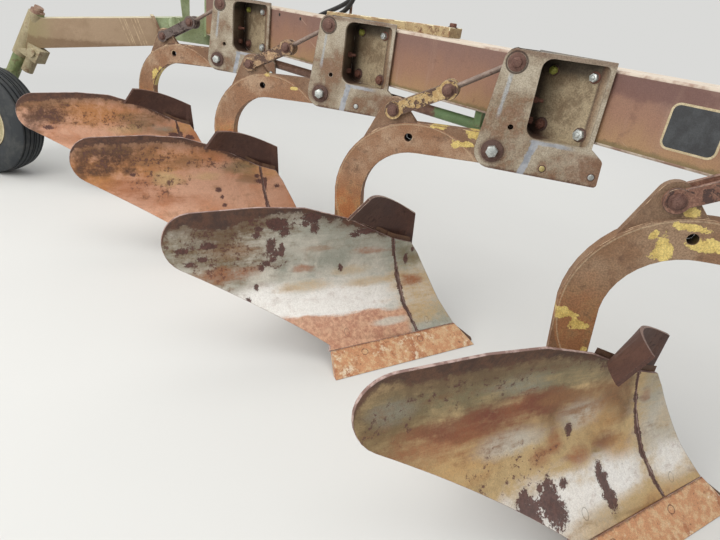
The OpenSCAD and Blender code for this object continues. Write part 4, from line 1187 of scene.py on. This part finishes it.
def add_tyre():
    """Ribbed implement tyre, turned from its section."""
    low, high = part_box("tyre")
    centre = (low + high) / 2
    outer = (high.z - low.z) / 2
    half = (high.y - low.y) / 2
    rim_low, rim_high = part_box("wheel_rim")
    rim = (rim_high.z - rim_low.z) / 2
    section = [(rim + r * MM, y) for r, y in TYRE_WALL] + [(outer - r * MM, y) for r, y in TYRE_TREAD]
    ring = section + [(r, -y) for r, y in reversed(section)] + [(rim + r * MM, y) for r, y in TYRE_INSIDE]
    work = bmesh.new()
    points = [work.verts.new((centre.x, centre.y + y * half, centre.z + r)) for r, y in ring]
    for a, b in zip(points, points[1:] + points[:1]):
        work.edges.new((a, b))
    bmesh.ops.spin(work, geom=work.edges[:], cent=centre, axis=(0, 1, 0), steps=120, angle=math.tau,
                   use_merge=True)
    bmesh.ops.remove_doubles(work, verts=work.verts, dist=1e-6)
    bmesh.ops.recalc_face_normals(work, faces=work.faces)
    made = piece("tyre_ribbed", work, (TYRE_RUBBER,), "wheel", 40.0)
    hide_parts("tyre")


# The faces of the wheel's disc from the middle of the rim, and the circle of its nuts, in mm
WHEEL_DISC = ((-6, NEAR), (6, FAR))
NUT_CIRCLE = 52
NUTS = 5


def add_wheel_nuts():
    """Nuts on both sides of the wheel's disc."""
    low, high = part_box("wheel_rim")
    nuts = Fasteners("wheel_nuts", "wheel", "rim_paint", (IRON_DARK, ZINC))
    for k in range(NUTS):
        angle = math.tau * k / NUTS + math.radians(20)
        for y, outward in WHEEL_DISC:
            off = Vector((math.cos(angle) * NUT_CIRCLE, y, math.sin(angle) * NUT_CIRCLE)) * MM
            nuts.hexagon((low + high) / 2 + off, outward, 19, 0, 13, IRON_DARK, 14 * k)
    nuts.finished()


# Where the top bar's bolt stands, along and behind the second trip pivot, in the beam's directions, in mm
BAR_BOLT = (-462, 275)


def add_top_bar_bolt():
    """The bolt that holds the front end of the bar on the beam."""
    bolt = Fasteners("top_bar_bolt", "frame", "hitch_steel", (IRON_DARK, RED_NUT))
    top = (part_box("top_bar")[1].z - pivot(2).z) / MM
    place = on_beam(*BAR_BOLT, top - 1.5)
    bolt.washer(place, UP, 17, 3, IRON_DARK)
    bolt.hexagon(place, UP, 24, 2, 15, RED_NUT, 12)
    bolt.finished()


# Pieces with one finish all over: finish, finish of the edges, width of the edges in mm and their segments
BAR_EDGE = worn_edge("top_bar_edges", (226, 218, 184), (150, 110, 80), 0.6)
PLAIN_PIECES = (
    ("beam", BEAM_PAINT, BEAM_EDGE, 8, 4),
    ("top_bar", BAR_CREAM, BAR_EDGE, 2.5),
    ("tail_arm", ARM_PAINT, ARM_EDGE, 6, 3),
    ("tail_bracket", PALE_GREEN, EDGE_RUST, 1.5),
    ("spindle_head", HEAD_PAINT, EDGE_RUST, 2),
    ("hose_holder", STAND_IRON, EDGE_RUST, 0.8),
    ("steering_rod", ROD_PAINT, EDGE_RUST, 0.8),
    ("headstock", HITCH_RED, EDGE_RUST, 2.5),
    ("stand_bracket", HITCH_RED, EDGE_RUST, 2),
    ("stand_leg", STAND_IRON, EDGE_RUST, 2),
    ("hitch_yoke", HITCH_RED, EDGE_RUST, 2.5),
    ("cross_shaft", STAND_IRON, EDGE_RUST, 1.5),
    ("wheel_leg", LEG_PAINT, EDGE_RUST, 2),
    ("wheel_rim", RIM_CREAM, EDGE_RUST, 1),
)


def add_all_pieces():
    """Every piece of the plough, with its finishes."""
    for row in PLAIN_PIECES:
        dressed(*row)
    frame["nodes"]["hoses"].data.materials.clear()
    frame["nodes"]["hoses"].data.materials.append(HOSE_RUBBER)
    add_tyre()
    add_wheel_nuts()
    add_top_bar_bolt()
    add_name_place()
    for i in BOTTOMS:
        dressed(f"bracket_{i}", bracket_finish(i), BRACKET_EDGE, 2.5, 2, 32.0, bracket_work(i))
        dressed(f"shank_{i}", shank_finish(i), SHANK_EDGE, 4, 3)
        dressed(f"strap_{i}", strap_finish(i), STRAP_EDGE, 1.2)
        dressed(f"toggle_rod_{i}", ROD_IRON, STRAP_EDGE, 1)
        board = board_finish(i)
        add_board(f"moldboard_{i}", i, board)
        add_board(f"shin_{i}", i, board)
        dressed(f"share_{i}", share_finish(i), BOARD_RIM, 1)
        dressed(f"trash_board_{i}", TRASH_RUST, TRASH_EDGE, 1)
        dressed(f"frog_{i}", FROG_IRON, FROG_IRON, 1.5)
        add_shade_strip("joint_shade_strip", i, 2, 24, on_joint)
        add_shade_strip("upper_shade_strip", i, 24, 4, on_upper_edge)
        add_bracket_fasteners(i)
        add_strap_pins(i)


# Lamps: name, place, size and power in watts
LAMPS = (
    ("overhead", (-1.0, -0.5, 5.0), 6.0, 190),
    ("front", (-2.5, -5.0, 3.2), 4.0, 200),
    ("back", (1.5, 5.0, 3.0), 4.0, 70),
)
LAMPS_AIM = Vector((0, 0, 0.4))
LAMP_COLOUR = (1.0, 0.975, 0.93)
SKY_COLOUR = (0.94, 0.97, 1.0, 1)
SKY_STRENGTH = 0.5
BACKGROUND_COLOUR = (0.70, 0.70, 0.685, 1)
# Where the floor starts to turn into the background and where it has turned, from its middle
FLOOR_NEAR = 2.4
FLOOR_FAR = 5.5


def seen_rays(tree):
    """One for the rays of the camera, of reflections and through glass."""
    path = tree.nodes.new("ShaderNodeLightPath")
    shown = path.outputs["Is Camera Ray"]
    for other in ("Is Glossy Ray", "Is Transmission Ray"):
        either = tree.nodes.new("ShaderNodeMath")
        either.operation = "MAXIMUM"
        tree.links.new(shown, either.inputs[0])
        tree.links.new(path.outputs[other], either.inputs[1])
        shown = either.outputs[0]
    return shown


def floor_finish():
    """A pale floor that turns into the plain background far from the plough."""
    f = Finish("floor_pale")
    f.lay(f.mix((0.66, 0.66, 0.645, 1), (0.69, 0.69, 0.675, 1), f.noise(0.7)))
    material = f.done(0.9)
    distance = f.node("ShaderNodeVectorMath", {"operation": "LENGTH"}, {0: f.at}, "Value")
    far = f.rise(distance, FLOOR_NEAR, FLOOR_FAR) * Value(f, seen_rays(f.tree))
    glow = f.node("ShaderNodeEmission", {}, {"Color": BACKGROUND_COLOUR, "Strength": 1.0})
    both = f.node("ShaderNodeMixShader", {}, {0: far, 1: Value(f, f.shader.outputs[0]), 2: glow})
    f.tree.links.new(both.socket, f.tree.nodes["Material Output"].inputs["Surface"])
    return material


def add_studio():
    """Pale floor, an even sky and soft lamps."""
    work = bmesh.new()
    bmesh.ops.create_grid(work, x_segments=1, y_segments=1, size=30)
    mesh = bpy.data.meshes.new("floor")
    work.to_mesh(mesh)
    work.free()
    floor = bpy.data.objects.new("floor", mesh)
    bpy.context.scene.collection.objects.link(floor)
    floor.location.z = -0.001
    mesh.materials.append(floor_finish())
    world = bpy.data.worlds.new("studio")
    world.use_nodes = True
    tree = world.node_tree
    sky = tree.nodes["Background"]
    sky.inputs["Color"].default_value = SKY_COLOUR
    sky.inputs["Strength"].default_value = SKY_STRENGTH
    seen = tree.nodes.new("ShaderNodeBackground")
    seen.inputs["Color"].default_value = BACKGROUND_COLOUR
    seen.inputs["Strength"].default_value = 1.0
    shown = seen_rays(tree)
    join = tree.nodes.new("ShaderNodeMixShader")
    tree.links.new(shown, join.inputs[0])
    tree.links.new(sky.outputs[0], join.inputs[1])
    tree.links.new(seen.outputs[0], join.inputs[2])
    tree.links.new(join.outputs[0], tree.nodes["World Output"].inputs["Surface"])
    bpy.context.scene.world = world
    for name, place, size, power in LAMPS:
        data = bpy.data.lights.new(name, "AREA")
        data.shape = "SQUARE"
        data.size = size
        data.energy = power
        data.color = LAMP_COLOUR
        lamp = bpy.data.objects.new(name, data)
        bpy.context.scene.collection.objects.link(lamp)
        lamp.location = place
        lamp.rotation_euler = (LAMPS_AIM - Vector(place)).to_track_quat("-Z", "Y").to_euler()


add_camera()
add_all_pieces()
add_studio()
bpy.context.scene.view_settings.view_transform = "Standard"
